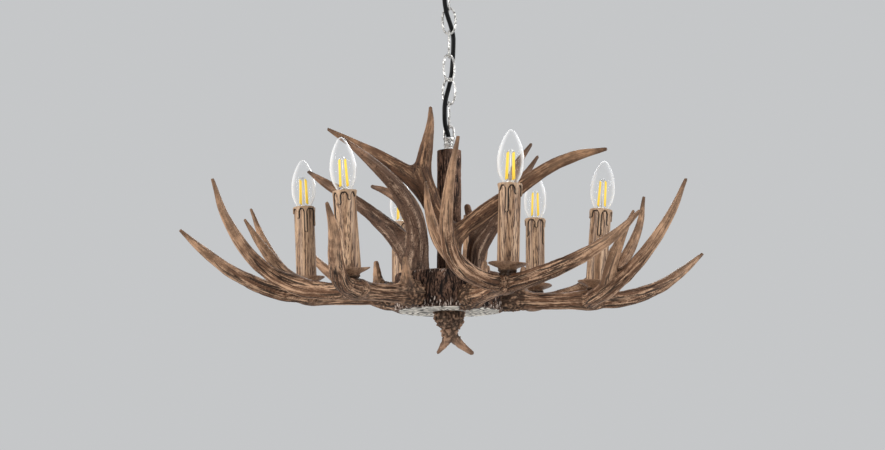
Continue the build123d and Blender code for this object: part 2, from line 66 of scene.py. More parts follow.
def add_node(tree, kind, settings=None, *inputs, out=0, **named):
    """Adds a node and gives back one of its outputs. Its inputs, by place or by name, are sockets to link,
    values to set, or None to leave alone."""
    made = tree.nodes.new(kind)
    for setting, value in (settings or {}).items():
        setattr(made, setting, value)
    for place, value in [*enumerate(inputs), *((name.replace("_", " "), named[name]) for name in named)]:
        if isinstance(value, bpy.types.NodeSocket):
            tree.links.new(value, made.inputs[place])
        elif value is not None:
            made.inputs[place].default_value = value
    return made.outputs[out]


def mixed(tree, share, first, second):
    """The first colour where share is 0, the second where it is 1."""
    left_alone = [None] * 5
    return add_node(tree, "ShaderNodeMix", {"data_type": "RGBA"}, share, *left_alone, first, second, out=2)


def seen_by(tree, *kinds):
    """1 for rays of these kinds, such as those straight from the camera, and 0 for all others."""
    rays = tree.nodes.new("ShaderNodeLightPath").outputs
    share = rays[f"Is {kinds[0]} Ray"]
    for kind in kinds[1:]:
        share = add_node(tree, "ShaderNodeMath", {"operation": "MAXIMUM"}, share, rays[f"Is {kind} Ray"])
    return share


hub_low, hub_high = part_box("hub_log_slice")
camera_back, camera_drop, camera_side = 1.980, 0.206, -0.0093
camera_pitch = math.radians(9.4)
picture_width, focal_pixels, sensor_width = 885, 1440, 36
camera = put("camera", bpy.data.cameras.new("camera"))
camera.location = (camera_side, -camera_back, hub_low.z - camera_drop)
camera.rotation_euler = (math.pi / 2 + camera_pitch, 0, 0)
camera.data.sensor_width = sensor_width
camera.data.lens = sensor_width * focal_pixels / picture_width
bpy.context.scene.camera = camera
bpy.context.scene.view_settings.view_transform = "Standard"

for name, place, aim_height, size, watts, tint in (
    ("lamp_left", (-3.1, -2.0, 0.7), -0.45, 1.9, 112, (1, 0.98, 0.95)),
    ("lamp_right", (3.2, -1.5, 0.6), -0.45, 1.7, 74, (0.96, 0.98, 1)),
    ("lamp_back", (0.6, 3.3, 1.4), -0.4, 2.0, 76, (1, 1, 1)),
):
    lamp = put(name, bpy.data.lights.new(name, "AREA"))
    lamp.location = place
    aim = Vector((0, 0, aim_height)) - Vector(place)
    lamp.rotation_euler = aim.to_track_quat("-Z", "Y").to_euler()
    lamp.data.size, lamp.data.energy, lamp.data.color = size, watts, tint

# what the camera sees of the room is paler than the light that it throws on the metal
room_colour, thrown_colour = (0.56, 0.57, 0.58, 1), (0.42, 0.43, 0.45, 1)
world = bpy.data.worlds.new("room")
bpy.context.scene.world = world
world.use_nodes = True
air = world.node_tree
sky = air.nodes["Background"].inputs
sky["Strength"].default_value = 1
air.links.new(mixed(air, seen_by(air, "Camera", "Transmission"), thrown_colour, room_colour), sky["Color"])

# the floor is mostly the room's own colour where it is looked at, and a matt grey where it only throws light
floor_drop, floor_reach, floor_grey, floor_share = 0.75, 60.0, 0.7, 0.78
floor_z = hub_low.z - floor_drop
floor_mesh = bpy.data.meshes.new("floor")
corners = [(floor_reach * x, floor_reach * y, floor_z) for x, y in ((-1, -1), (1, -1), (1, 1), (-1, 1))]
floor_mesh.from_pydata(corners, [], [(0, 1, 2, 3)])
floor = put("floor", floor_mesh)
floor_paint = bpy.data.materials.new("floor_paint")
floor_paint.use_nodes = True
coat = floor_paint.node_tree
matt = coat.nodes["Principled BSDF"]
matt.inputs["Base Color"].default_value = (floor_grey, floor_grey, floor_grey, 1)
matt.inputs["Roughness"].default_value = 0.9
share = add_node(coat, "ShaderNodeMath", {"operation": "MULTIPLY"},
                 seen_by(coat, "Camera", "Glossy", "Transmission"), floor_share)
painted = add_node(coat, "ShaderNodeMixShader", None, share, matt.outputs[0],
                   add_node(coat, "ShaderNodeEmission", Color=room_colour))
coat.links.new(painted, coat.nodes["Material Output"].inputs["Surface"])
floor_mesh.materials.append(floor_paint)


# ---- Strap, nuts and threaded tubes ----------------------------------------------------------------
# The steel inside: a hat shaped strap on the ceiling, hexagon nuts, threaded tubes, studs and posts. Rolled
# and turned parts, zinc plated, so the metal is a soft grey with a faint crystal pattern.
class Signal:
    """A socket's value in a material that is being built, so that sums on it read as plain arithmetic."""

    def __init__(self, finish, socket):
        self.finish, self.socket = finish, socket

    def __add__(self, other):
        return self.finish.sum("ADD", self, other)

    def __mul__(self, other):
        return self.finish.sum("MULTIPLY", self, other)

    def __sub__(self, other):
        return self.finish.sum("SUBTRACT", self, other)

    def __rsub__(self, other):
        return self.finish.sum("SUBTRACT", other, self)

    def clip(self, low, high):
        """This value taken from low..high to 0..1, smoothly and without going past either."""
        return self.finish.node("ShaderNodeMapRange", {"interpolation_type": "SMOOTHSTEP"},
                                self, float(low), float(high), 0.0, 1.0)


def socket_of(value):
    return value.socket if isinstance(value, Signal) else value


class Finish:
    """A material being built around its Principled shader."""

    def __init__(self, name, **fixed):
        self.material = bpy.data.materials.new(name)
        self.material.use_nodes = True
        self.tree = self.material.node_tree
        self.shader = self.tree.nodes["Principled BSDF"]
        for socket, value in fixed.items():
            self.shader.inputs[socket.replace("_", " ")].default_value = value

    def node(self, kind, settings=None, *inputs, out=0, **named):
        named = {name: socket_of(value) for name, value in named.items()}
        return Signal(self, add_node(self.tree, kind, settings, *map(socket_of, inputs), out=out, **named))

    def sum(self, operation, *terms):
        return self.node("ShaderNodeMath", {"operation": operation}, *terms)

    def place(self, scale=(1, 1, 1)):
        """Object coordinates in millimetres, stretched by scale."""
        spot = self.node("ShaderNodeTexCoord", out=3)
        return self.node("ShaderNodeMapping", None, spot, Scale=tuple(1000 * s for s in scale))

    def noise(self, spot, size, detail=3.0, rough=0.55, **more):
        """Cloudy noise whose blobs are about size across, in the units of spot."""
        return self.node("ShaderNodeTexNoise", None, spot, Scale=1 / size, Detail=detail, Roughness=rough, **more)

    def mask(self, name, out=2):
        """A number stored on the mesh's points, or with out=1 a vector."""
        return self.node("ShaderNodeAttribute", {"attribute_name": name}, out=out)

    def mix(self, share, first, second):
        """From the first colour to the second as share goes from 0 to 1."""
        colours = [socket_of(c) if isinstance(c, Signal) else (*c, 1) for c in (first, second)]
        return Signal(self, mixed(self.tree, socket_of(share), *colours))

    def bump(self, height, depth):
        """Dents and ridges of depth millimetres where height goes from 0 to 1."""
        return self.node("ShaderNodeBump", None, Strength=1.0, Distance=depth * mm, Height=height)

    def end(self, **varying):
        for socket, value in varying.items():
            self.tree.links.new(value.socket, self.shader.inputs[socket.replace("_", " ")])
        return self.material


def zinc_plate():
    steel = Finish("zinc_plate", Metallic=1.0)
    cloud = steel.noise(steel.place(), 5)
    scratch = steel.noise(steel.place((1, 1, 0.12)), 0.7)
    colour = steel.mix(cloud.clip(0.35, 0.65), (0.42, 0.42, 0.41), (0.62, 0.61, 0.57))
    return steel.end(Base_Color=colour, Roughness=cloud * 0.25 + 0.22, Normal=steel.bump(scratch, 0.05))


def dress(node, material):
    """A CAD piece whose shape is right gets its finish."""
    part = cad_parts[node]
    part.data.materials.clear()
    part.data.materials.append(material)


zinc = zinc_plate()
for node in ("ceiling_bracket", "bracket_lock_nut", "canopy_nipple", "stem_tube", "hub_nut", "antler_studs",
             "candle_posts"):
    dress(node, zinc)


def moulded(name, colour):
    plastic = Finish(name, Roughness=0.4)
    speck = plastic.noise(plastic.place(), 1.5)
    shade = plastic.mix(speck.clip(0.3, 0.7), [0.88 * c for c in colour], colour)
    return plastic.end(Base_Color=shade, Normal=plastic.bump(speck, 0.03))


white_plastic = moulded("white_plastic", (0.8, 0.79, 0.74))
for node in ("terminal_block", "wire_connectors"):
    dress(node, white_plastic)


# ---- Canopy ----------------------------------------------------------------------------------------
# A cup pressed from sheet steel with a rolled rim, finished in rough antique silver: dark metal with the
# high places rubbed bright. It hides the strap, and the ring's collar holds it up.
def antique_silver():
    metal = Finish("antique_silver", Metallic=1.0)
    lumps = metal.noise(metal.place(), 2.6, 4.0, 0.6)
    pits = metal.noise(metal.place(), 0.9, 3.0)
    worn = (lumps * 0.6 + pits * 0.4).clip(0.38, 0.54)
    colour = metal.mix(worn, (0.09, 0.083, 0.075), (0.93, 0.91, 0.87))
    return metal.end(Base_Color=colour, Roughness=0.6 - worn * 0.26, Normal=metal.bump(worn, 0.4))


def new_piece(name, vertices, faces, material, flat_angle=35):
    """A mesh object at the origin, its faces smooth except at edges sharper than flat_angle degrees."""
    mesh = bpy.data.meshes.new(name)
    mesh.from_pydata([tuple(v) for v in vertices], [], faces)
    mesh.materials.append(material)
    mesh.validate()
    mesh.polygons.foreach_set("use_smooth", [True] * len(mesh.polygons))
    mesh.set_sharp_from_angle(angle=math.radians(flat_angle))
    return put(name, mesh)


def stand_in(piece, body, node):
    """A piece moves with its body and replaces its solid."""
    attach(piece, body)
    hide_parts(node)


def grid_faces(sides, rows, closed=False):
    """Quads of rows of points round an axis; closed joins the last row to the first."""
    faces = []
    for row in range(rows if closed else rows - 1):
        below, above = row * sides, (row + 1) % rows * sides
        for i in range(sides):
            j = (i + 1) % sides
            faces.append((below + i, below + j, above + j, above + i))
    return faces


def lathe(profile, sides, wobble=None):
    """Vertices and faces of a closed turned shape about Z, from its (radius, height) outline in metres.
    Outline ends on the axis close in a point; otherwise the outline itself is a closed loop."""
    capped = profile[0][0] == 0 and profile[-1][0] == 0
    body = profile[1:-1] if capped else profile
    vertices = []
    for radius, height in body:
        for angle in np.linspace(0, 2 * math.pi, sides, endpoint=False):
            out = radius + (wobble(angle, radius, height) if wobble else 0)
            vertices.append((out * math.cos(angle), out * math.sin(angle), height))
    faces = grid_faces(sides, len(body), closed=not capped)
    if capped:
        low, high, last = len(vertices), len(vertices) + 1, (len(body) - 1) * sides
        vertices += [(0, 0, profile[0][1]), (0, 0, profile[-1][1])]
        for i in range(sides):
            j = (i + 1) % sides
            faces += [(low, j, i), (high, last + i, last + j)]
    return np.array(vertices), faces


def bowed(start, end, bulge, steps):
    """Outline points from start to end along an arc that stands bulge metres off the chord."""
    (x0, z0), (x1, z1) = start, end
    long = math.hypot(x1 - x0, z1 - z0)
    nx, nz = (z1 - z0) / long, -(x1 - x0) / long
    points = []
    for i in range(steps + 1):
        t = i / steps
        off = 4 * bulge * t * (1 - t)
        points.append((x0 + (x1 - x0) * t + nx * off, z0 + (z1 - z0) * t + nz * off))
    return points


silver = antique_silver()
canopy_low, canopy_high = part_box("ceiling_canopy")
rim_radius, dome_edge, mouth_radius = canopy_high.x, 16 * mm, 5.1 * mm
sheet_thickness, dome_shell, dome_bulge = 1.2 * mm, 0.9 * mm, 10.5 * mm
dome = bowed((dome_edge, canopy_low.z), (rim_radius - 1.5 * mm, canopy_high.z - 5 * mm), dome_bulge, 18)
# the rolled rim, in millimetres in from its radius and down from the ceiling
rolled = [(rim_radius - inward * mm, canopy_high.z - drop * mm)
          for inward, drop in ((0, 4), (0, 1), (1, 0), (2.2, 0.6), (2.8, 5))]
inner_dome = [(r - dome_shell, z + dome_shell) for r, z in reversed(dome)]
outline = [(mouth_radius, canopy_low.z), *dome, *rolled, *inner_dome, (mouth_radius, canopy_low.z + sheet_thickness)]
canopy = new_piece("canopy", *lathe(outline, 96), silver)
stand_in(canopy, "ceiling_fixing", "ceiling_canopy")


# ---- Ring, chain and stem loop ---------------------------------------------------------------------
# Bent and welded wire: a ring under the canopy, oval links that hang in one another, and an arch on top of
# the stem. Each is one closed rod of soft, slightly uneven wire in the same antique silver.
wire_sides, lumps_per_metre = 20, 260


def wire_tree():
    """Geometry nodes that turn a curve into a closed rod of uneven wire, with named inputs for its sizes."""
    tree = bpy.data.node_groups.new("wire", "GeometryNodeTree")
    tree.is_modifier = True
    for name, kind, value in (("Path", "Geometry", None), ("Wire radius", "Float", 1.6 * mm),
                              ("Unevenness", "Float", 0.1 * mm), ("Step", "Float", 0.7 * mm),
                              ("Finish", "Material", None)):
        socket = tree.interface.new_socket(name, in_out="INPUT", socket_type="NodeSocket" + kind)
        if value:
            socket.default_value = value
    tree.interface.new_socket("Rod", in_out="OUTPUT", socket_type="NodeSocketGeometry")
    given = tree.nodes.new("NodeGroupInput").outputs
    even = add_node(tree, "GeometryNodeResampleCurve", {"mode": "LENGTH"}, Curve=given["Path"], Length=given["Step"])
    ring = add_node(tree, "GeometryNodeCurvePrimitiveCircle", None, Resolution=wire_sides,
                    Radius=given["Wire radius"])
    rod = add_node(tree, "GeometryNodeCurveToMesh", None, Curve=even, Profile_Curve=ring, Fill_Caps=True)
    lumps = add_node(tree, "ShaderNodeTexNoise", None, Scale=lumps_per_metre)
    swell = add_node(tree, "ShaderNodeMath", {"operation": "SUBTRACT"}, lumps, 0.5)
    height = add_node(tree, "ShaderNodeMath", {"operation": "MULTIPLY"}, swell, given["Unevenness"])
    push = add_node(tree, "ShaderNodeVectorMath", {"operation": "SCALE"},
                    add_node(tree, "GeometryNodeInputNormal"), Scale=height)
    rod = add_node(tree, "GeometryNodeSetPosition", None, Geometry=rod, Offset=push)
    rod = add_node(tree, "GeometryNodeRealizeInstances", None, Geometry=rod)
    rod = add_node(tree, "GeometryNodeSetShadeSmooth", None, Geometry=rod)
    rod = add_node(tree, "GeometryNodeSetMaterial", None, Geometry=rod, Material=given["Finish"])
    tree.links.new(rod, tree.nodes.new("NodeGroupOutput").inputs["Rod"])
    return tree


def curve_object(name, kind, points):
    """A curve object of one spline through points, and its spline."""
    curve = bpy.data.curves.new(name, "CURVE")
    curve.dimensions = "3D"
    spline = curve.splines.new(kind)
    spline.points.add(len(points) - 1)
    for place, point in zip(spline.points, points):
        place.co = (*point, 1)
    return put(name, curve), spline


def made_real(source):
    """The mesh that an object evaluates to; the object itself goes."""
    bpy.context.view_layer.update()
    mesh = bpy.data.meshes.new_from_object(source.evaluated_get(bpy.context.evaluated_depsgraph_get()))
    bpy.data.objects.remove(source)
    return mesh


wire = wire_tree()


def bent_wire(name, points, thickness, unevenness=0.25 * mm, closed=True):
    """A rod of silver wire bent along points."""
    source, spline = curve_object(name, "POLY", points)
    spline.use_cyclic_u = closed
    modifier = source.modifiers.new("build", "NODES")
    modifier.node_group = wire
    chosen = {"Wire radius": thickness / 2, "Unevenness": unevenness, "Finish": silver}
    for socket in wire.interface.items_tree:
        if socket.name in chosen:
            modifier[socket.identifier] = chosen[socket.name]
    mesh = made_real(source)
    mesh.name = name
    return put(name, mesh)


def oval(top, foot, half_width, squareness=2.3, steps=72):
    """Points of an upright oval in the XZ plane, a little squarer than an ellipse."""
    middle, half_height = (top + foot) / 2, (top - foot) / 2
    points = []
    for i in range(steps):
        c, s = math.cos(2 * math.pi * i / steps), math.sin(2 * math.pi * i / steps)
        points.append((half_width * math.copysign(abs(c) ** (2 / squareness), c), 0,
                       middle + half_height * math.copysign(abs(s) ** (2 / squareness), s)))
    return points


def half_turn(centre_z, radius, first, steps=24):
    """Points of a half circle in the XZ plane about (0, centre_z), starting at angle first."""
    angles = [first + math.pi * i / steps for i in range(steps + 1)]
    return [(radius * math.cos(a), 0, centre_z + radius * math.sin(a)) for a in angles]


def turned(points, degrees):
    """Points turned about the vertical."""
    c, s = math.cos(math.radians(degrees)), math.sin(math.radians(degrees))
    return [(x * c - y * s, x * s + y * c, z) for x, y, z in points]


link_width, link_wire = 21.8 * mm, 3.2 * mm
link_turns = (90, 0, 90, 35, -20, 90)
for i, turn in enumerate(link_turns):
    low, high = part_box(f"chain_link_{i + 1}")
    path = oval(high.z - link_wire / 2, low.z + link_wire / 2, (link_width - link_wire) / 2)
    piece = bent_wire(f"link_{i + 1}", turned(path, turn), link_wire)
    stand_in(piece, f"link_{i + 1}", f"chain_link_{i + 1}")


def joined(name, pieces):
    """Several mesh objects made one, which keeps the first one's materials."""
    bpy.ops.object.select_all(action="DESELECT")
    for piece in pieces:
        piece.select_set(True)
    bpy.context.view_layer.objects.active = pieces[0]
    bpy.ops.object.join()
    pieces[0].name = name
    return pieces[0]


ring_low, ring_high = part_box("canopy_loop")
ring_wire, ring_outer = 5 * mm, ring_high.x
ring_centre, ring_bend = ring_low.z + ring_outer, ring_outer - ring_wire / 2
round_path = half_turn(ring_centre, ring_bend, 0)[:-1] + half_turn(ring_centre, ring_bend, math.pi)[:-1]
ring = bent_wire("ring", round_path, ring_wire)
ring_collar, thread_radius, bore = 8 * mm, 5.1 * mm, 4 * mm
collar_foot, thread_foot, top_edge = ring_centre + ring_bend - ring_wire / 2, ring_high.z - 8 * mm, 1.2 * mm
# the collar's bead and groove, in millimetres in from its radius and up from its foot
collar_side = [(ring_collar - inward * mm, collar_foot + rise * mm)
               for inward, rise in ((1, 0), (0, 1), (0, 4), (1, 5), (1, 6), (0, 7))]
collar_outline = [(bore, collar_foot), *collar_side, (ring_collar, ring_high.z - top_edge),
                  (ring_collar - top_edge, ring_high.z), (thread_radius, ring_high.z), (thread_radius, thread_foot),
                  (bore, thread_foot)]
ring_neck = new_piece("ring_neck", *lathe(collar_outline, 48), silver)
canopy_ring = joined("canopy_ring", [ring, ring_neck])
stand_in(canopy_ring, "ceiling_fixing", "canopy_loop")

arch_low, arch_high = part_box("stem_loop")
arch_wire, arch_bend = 3.6 * mm, 6.7 * mm
arch_centre, leg_foot = arch_high.z - arch_wire / 2 - arch_bend, arch_low.z + 0.5 * mm
arch_path = [(arch_bend, 0, leg_foot), *half_turn(arch_centre, arch_bend, 0), (-arch_bend, 0, leg_foot)]
arch = bent_wire("arch", arch_path, arch_wire, 0.2 * mm, closed=False)
base_radius, base_bore, base_top = 8.6 * mm, 5.8 * mm, arch_low.z + 2.5 * mm
base_outline = [(base_bore, arch_low.z), (base_radius - 0.4 * mm, arch_low.z), (base_radius, arch_low.z + 0.5 * mm),
                (base_radius, base_top - 0.5 * mm), (base_radius - 0.4 * mm, base_top), (base_bore, base_top)]
arch_base = new_piece("arch_base", *lathe(base_outline, 48), silver)
stem_arch = joined("stem_arch", [arch, arch_base])
stand_in(stem_arch, "fixture", "stem_loop")

# ---- Collar ----------------------------------------------------------------------------------------
# A turned and cast collar between the arch and the stem: a bead at each end and one in the middle, fluted.
neck_low, neck_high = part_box("stem_collar")
neck_tall, neck_radius, neck_bore, bead_steps = neck_high.z - neck_low.z, neck_high.x, 5.25 * mm, 24
beads = [(neck_bore, neck_low.z)]
for i in range(bead_steps + 1):
    t = i / bead_steps
    swell = 0.5 + 0.5 * math.cos(4 * math.pi * t)
    beads.append((neck_radius - (1 - swell) * 1.1 * mm - 0.3 * mm, neck_low.z + t * neck_tall))
beads.append((neck_bore, neck_high.z))


def knurl(angle, radius, height):
    """Shallow flutes round the collar's outside."""
    return 0.22 * mm * math.sin(14 * angle) if radius > neck_bore else 0


collar = new_piece("collar", *lathe(beads, 84, knurl), silver)
stand_in(collar, "fixture", "stem_collar")

# ---- Lower antlers ---------------------------------------------------------------------------------
# Six resin castings from one mould, bolted into the hub by studs in their roots, each turned by about a
# sixth and tipped a little. One beam, a burr at its root, a small brow tine and three long tines.
def smooth_line(stations, step):
    """Even samples of the smooth curve through (x, y, z, radius) stations, in millimetres."""
    knots = np.array(stations, float)
    knots = np.vstack([2 * knots[0] - knots[1], knots, 2 * knots[-1] - knots[-2]])
    samples = []
    for a, b, c, d in zip(knots, knots[1:], knots[2:], knots[3:]):
        count = max(2, round(np.linalg.norm((c - b)[:3]) / step))
        t = np.linspace(0, 1, count, endpoint=False)[:, None]
        samples.append(b + 0.5 * ((c - a) * t + (2 * a - 5 * b + 4 * c - d) * t ** 2
                                  + (3 * b - a - 3 * c + d) * t ** 3))
    return np.vstack(samples + [knots[-2:-1]])


def carried_frame(line):
    """Unit directions along a line and two across it, carried along it without twist."""
    along = np.gradient(line, axis=0)
    along /= np.linalg.norm(along, axis=1)[:, None]
    start = np.cross(along[0], (0, 1, 0) if abs(along[0][1]) < 0.9 else (1, 0, 0))
    across = [start / np.linalg.norm(start)]
    for direction in along[1:]:
        side = across[-1] - direction * across[-1].dot(direction)
        across.append(side / np.linalg.norm(side))
    across = np.array(across)
    return along, across, np.cross(along, across)


perlin_gain = 1.6  # brings the sum to about -1 to 1


def perlin(points, seed):
    """Smooth random values of about -1 to 1 whose hills are about one unit across."""
    draw = np.random.default_rng(seed)
    order = draw.permutation(256)
    slopes = draw.normal(size=(256, 3))
    slopes /= np.linalg.norm(slopes, axis=1)[:, None]
    cell = np.floor(points).astype(int)
    part = points - cell
    ease = part ** 3 * (part * (part * 6 - 15) + 10)
    total = np.zeros(len(points))
    for corner in np.ndindex(2, 2, 2):
        x, y, z = ((cell + corner) & 255).T
        slope = slopes[order[(order[(order[x] + y) & 255] + z) & 255]]
        weight = np.where(corner, ease, 1 - ease).prod(axis=1)
        total += weight * (slope * (part - corner)).sum(axis=1)
    return total * perlin_gain


def step_up(value, low, high):
    """0 below low, 1 above high and smooth between them."""
    t = np.clip((value - low) / (high - low), 0, 1)
    return t * t * (3 - 2 * t)


def creases(trail, seed, thin, low, high):
    """1 along the lines where smooth noise crosses zero, narrower the higher thin is, and 0 away from them."""
    return step_up(1 - np.abs(perlin(trail, seed)) * thin, low, high)


def tube_mesh(line, sides=16):
    """Vertices and faces of a closed tube round a sampled (x, y, z, radius) line, with blunt ends."""
    along, across, third = carried_frame(line[:, :3])
    angles = np.linspace(0, 2 * math.pi, sides, endpoint=False)
    rings = (line[:, None, :3] + line[:, None, 3:] * (np.cos(angles)[None, :, None] * across[:, None]
                                                    + np.sin(angles)[None, :, None] * third[:, None]))
    ends = np.array([line[0, :3] - along[0] * line[0, 3] * 0.3, line[-1, :3] + along[-1] * line[-1, 3]])
    faces, last, foot = grid_faces(sides, len(line)), (len(line) - 1) * sides, len(line) * sides
    for i in range(sides):
        j = (i + 1) % sides
        faces += [(j, i, foot), (last + i, last + j, foot + 1)]
    return np.vstack([rings.reshape(-1, 3), ends]), faces


def against_branch(points, line, frames):
    """How far points lie outside one branch and which way, how far along it, where around it, its radius."""
    along, across, third = frames
    centre, radius = line[:, :3], line[:, 3]
    square = (points ** 2).sum(1)[:, None] + (centre ** 2).sum(1)[None] - 2 * points @ centre.T
    nearest = (np.sqrt(np.maximum(square, 0)) - radius[None]).argmin(1)
    steps = np.linalg.norm(np.diff(centre, axis=0), axis=1)
    travelled = np.concatenate([[0], np.cumsum(steps)])
    off = points - centre[nearest]
    slip = np.clip((off * along[nearest]).sum(1), -steps.mean() / 2, steps.mean() / 2)
    off -= slip[:, None] * along[nearest]
    far = np.linalg.norm(off, axis=1) + 1e-9
    around = np.stack([(off * across[nearest]).sum(1), (off * third[nearest]).sum(1)], 1) / far[:, None]
    return far - radius[nearest], off / far[:, None], travelled[nearest] + slip, around, radius[nearest]


def points_of(mesh):
    """A mesh's points as rows of x, y, z."""
    points = np.empty(len(mesh.vertices) * 3)
    mesh.vertices.foreach_get("co", points)
    return points.reshape(-1, 3)


def store(mesh, name, values):
    """Keeps a number, or a row of three, for each point of a mesh, for its material to read."""
    values = np.asarray(values, float)
    kind, field = ("FLOAT", "value") if values.ndim == 1 else ("FLOAT_VECTOR", "vector")
    mesh.attributes.new(name, kind, "POINT").data.foreach_set(field, values.ravel())


# millimetres: how wide, long and deep a groove is, how wide and high a lump, how wide a pearl
groove_width, groove_run, groove_depth = 3.4, 75.0, 0.75
lump_size, lump_height, pearl_size = 21.0, 0.6, 3.9
polished_radius, rough_radius, end_radii = 6.0, 11.0, (2.4, 5.0)  # a tine's radius where each look begins
skin_voxel, line_step = 1.4, 1.5
noise_apart, grain_apart = 9.7, 60  # keep one branch's pattern apart from the next one's
flattest = 0.4  # the least slope counted where branches meet, so that no point is thrown far


def antler_skin(name, branches, material, seed, pearls, web=3.5, pearl_height=1.6, gnarl=1.0):
    """A closed antler in millimetres: its branches grown together with webs in their forks, grooved along
    the grain, lumpy, set with pearls near the root and smooth at its tips. pearls is the root's middle, how far
    round it they are full and where they end. Keeps on its points how deep the grooves are, how polished, near
    the root or in a fork the place is, and the grain's own coordinates."""
    lines = [smooth_line(branch, line_step) for branch in branches]
    frames = [carried_frame(line[:, :3]) for line in lines]
    vertices, faces = [], []
    for line in lines:
        tube, sides = tube_mesh(line)
        faces += [tuple(i + len(vertices) for i in face) for face in sides]
        vertices += list(tube)
    rough = new_piece(name, vertices, faces, material)
    skin = rough.modifiers.new("skin", "REMESH")
    skin.mode, skin.voxel_size = "VOXEL", skin_voxel
    mesh = made_real(rough)
    points = points_of(mesh)
    root, root_clear, root_end = pearls
    for grow in (0, 0, 1):
        out, away, travelled, around, radius = zip(*[against_branch(points, l, f) for l, f in zip(lines, frames)])
        out = np.array(out)
        share = np.exp(-(out - out.min(0)) / web)
        surface = out.min(0) - web * np.log(share.sum(0))
        share /= share.sum(0)
        slope = (share[:, :, None] * np.array(away)).sum(0)
        steep = np.maximum(np.linalg.norm(slope, axis=1), flattest)[:, None]
        groove, polish = np.zeros(len(points)), np.zeros(len(points))
        for i in range(len(lines)):
            ring = around[i] * np.maximum(radius[i], 5)[:, None] / groove_width
            trail = np.column_stack([ring, travelled[i] / groove_run + noise_apart * i])
            part_groove = np.maximum(creases(trail, seed + i, 3.2, 0.2, 1.0),
                                     0.6 * creases(trail * (1.9, 1.9, 1.3) + 5, seed + i, 3.0, 0.3, 1.0))
            smooth_tip = 1 - step_up(radius[i], polished_radius, rough_radius)
            groove += share[i] * part_groove * (1 - 0.9 * smooth_tip)
            polish += share[i] * smooth_tip
        near_root = 1 - step_up(np.linalg.norm(points - root, axis=1), root_clear, root_end)
        pearl = step_up(perlin(points / pearl_size, seed + 40), -0.05, 0.55) * near_root
        lump = perlin(points / lump_size, seed + 50) + 0.4 * perlin(points / (lump_size * 0.37), seed + 51)
        relief = (lump_height * lump * (1 - 0.6 * polish) * gnarl + pearl_height * pearl
                  - groove_depth * gnarl * groove * (1 - 0.5 * near_root))
        points -= slope / steep ** 2 * surface[:, None] - slope / steep * (grow * relief)[:, None]
        mesh.vertices.foreach_set("co", points.ravel())
        mesh.update()
    owner = out.argmin(0)
    pick = np.arange(len(points))
    grain = np.column_stack([np.array(around)[owner, pick] * np.array(radius)[owner, pick][:, None],
                             np.array(travelled)[owner, pick] + grain_apart * owner])
    fork = step_up(1 - share.max(0), 0.12, 0.5) * (1 - near_root)
    end = 1 - step_up(np.array(radius)[owner, pick], *end_radii)
    for mask, values in (("groove", np.clip(groove, 0, 1)), ("polish", polish), ("pearl", pearl),
                         ("root", near_root), ("fork", fork), ("end", end), ("grain", grain)):
        store(mesh, mask, values)
    mesh.polygons.foreach_set("use_smooth", [True] * len(mesh.polygons))
    mesh.materials.clear()
    mesh.materials.append(material)
    return mesh


def place_mesh(name, mesh, origin, x_dir, y_dir, z_dir, size=1.0):
    """A copy of a mesh drawn in millimetres, put in its place in metres."""
    copy = mesh.copy()
    points = np.array(origin) + points_of(copy) @ np.array([x_dir, y_dir, z_dir]) * size * mm
    copy.vertices.foreach_set("co", points.ravel())
    copy.update()
    copy.name = name
    return put(name, copy)


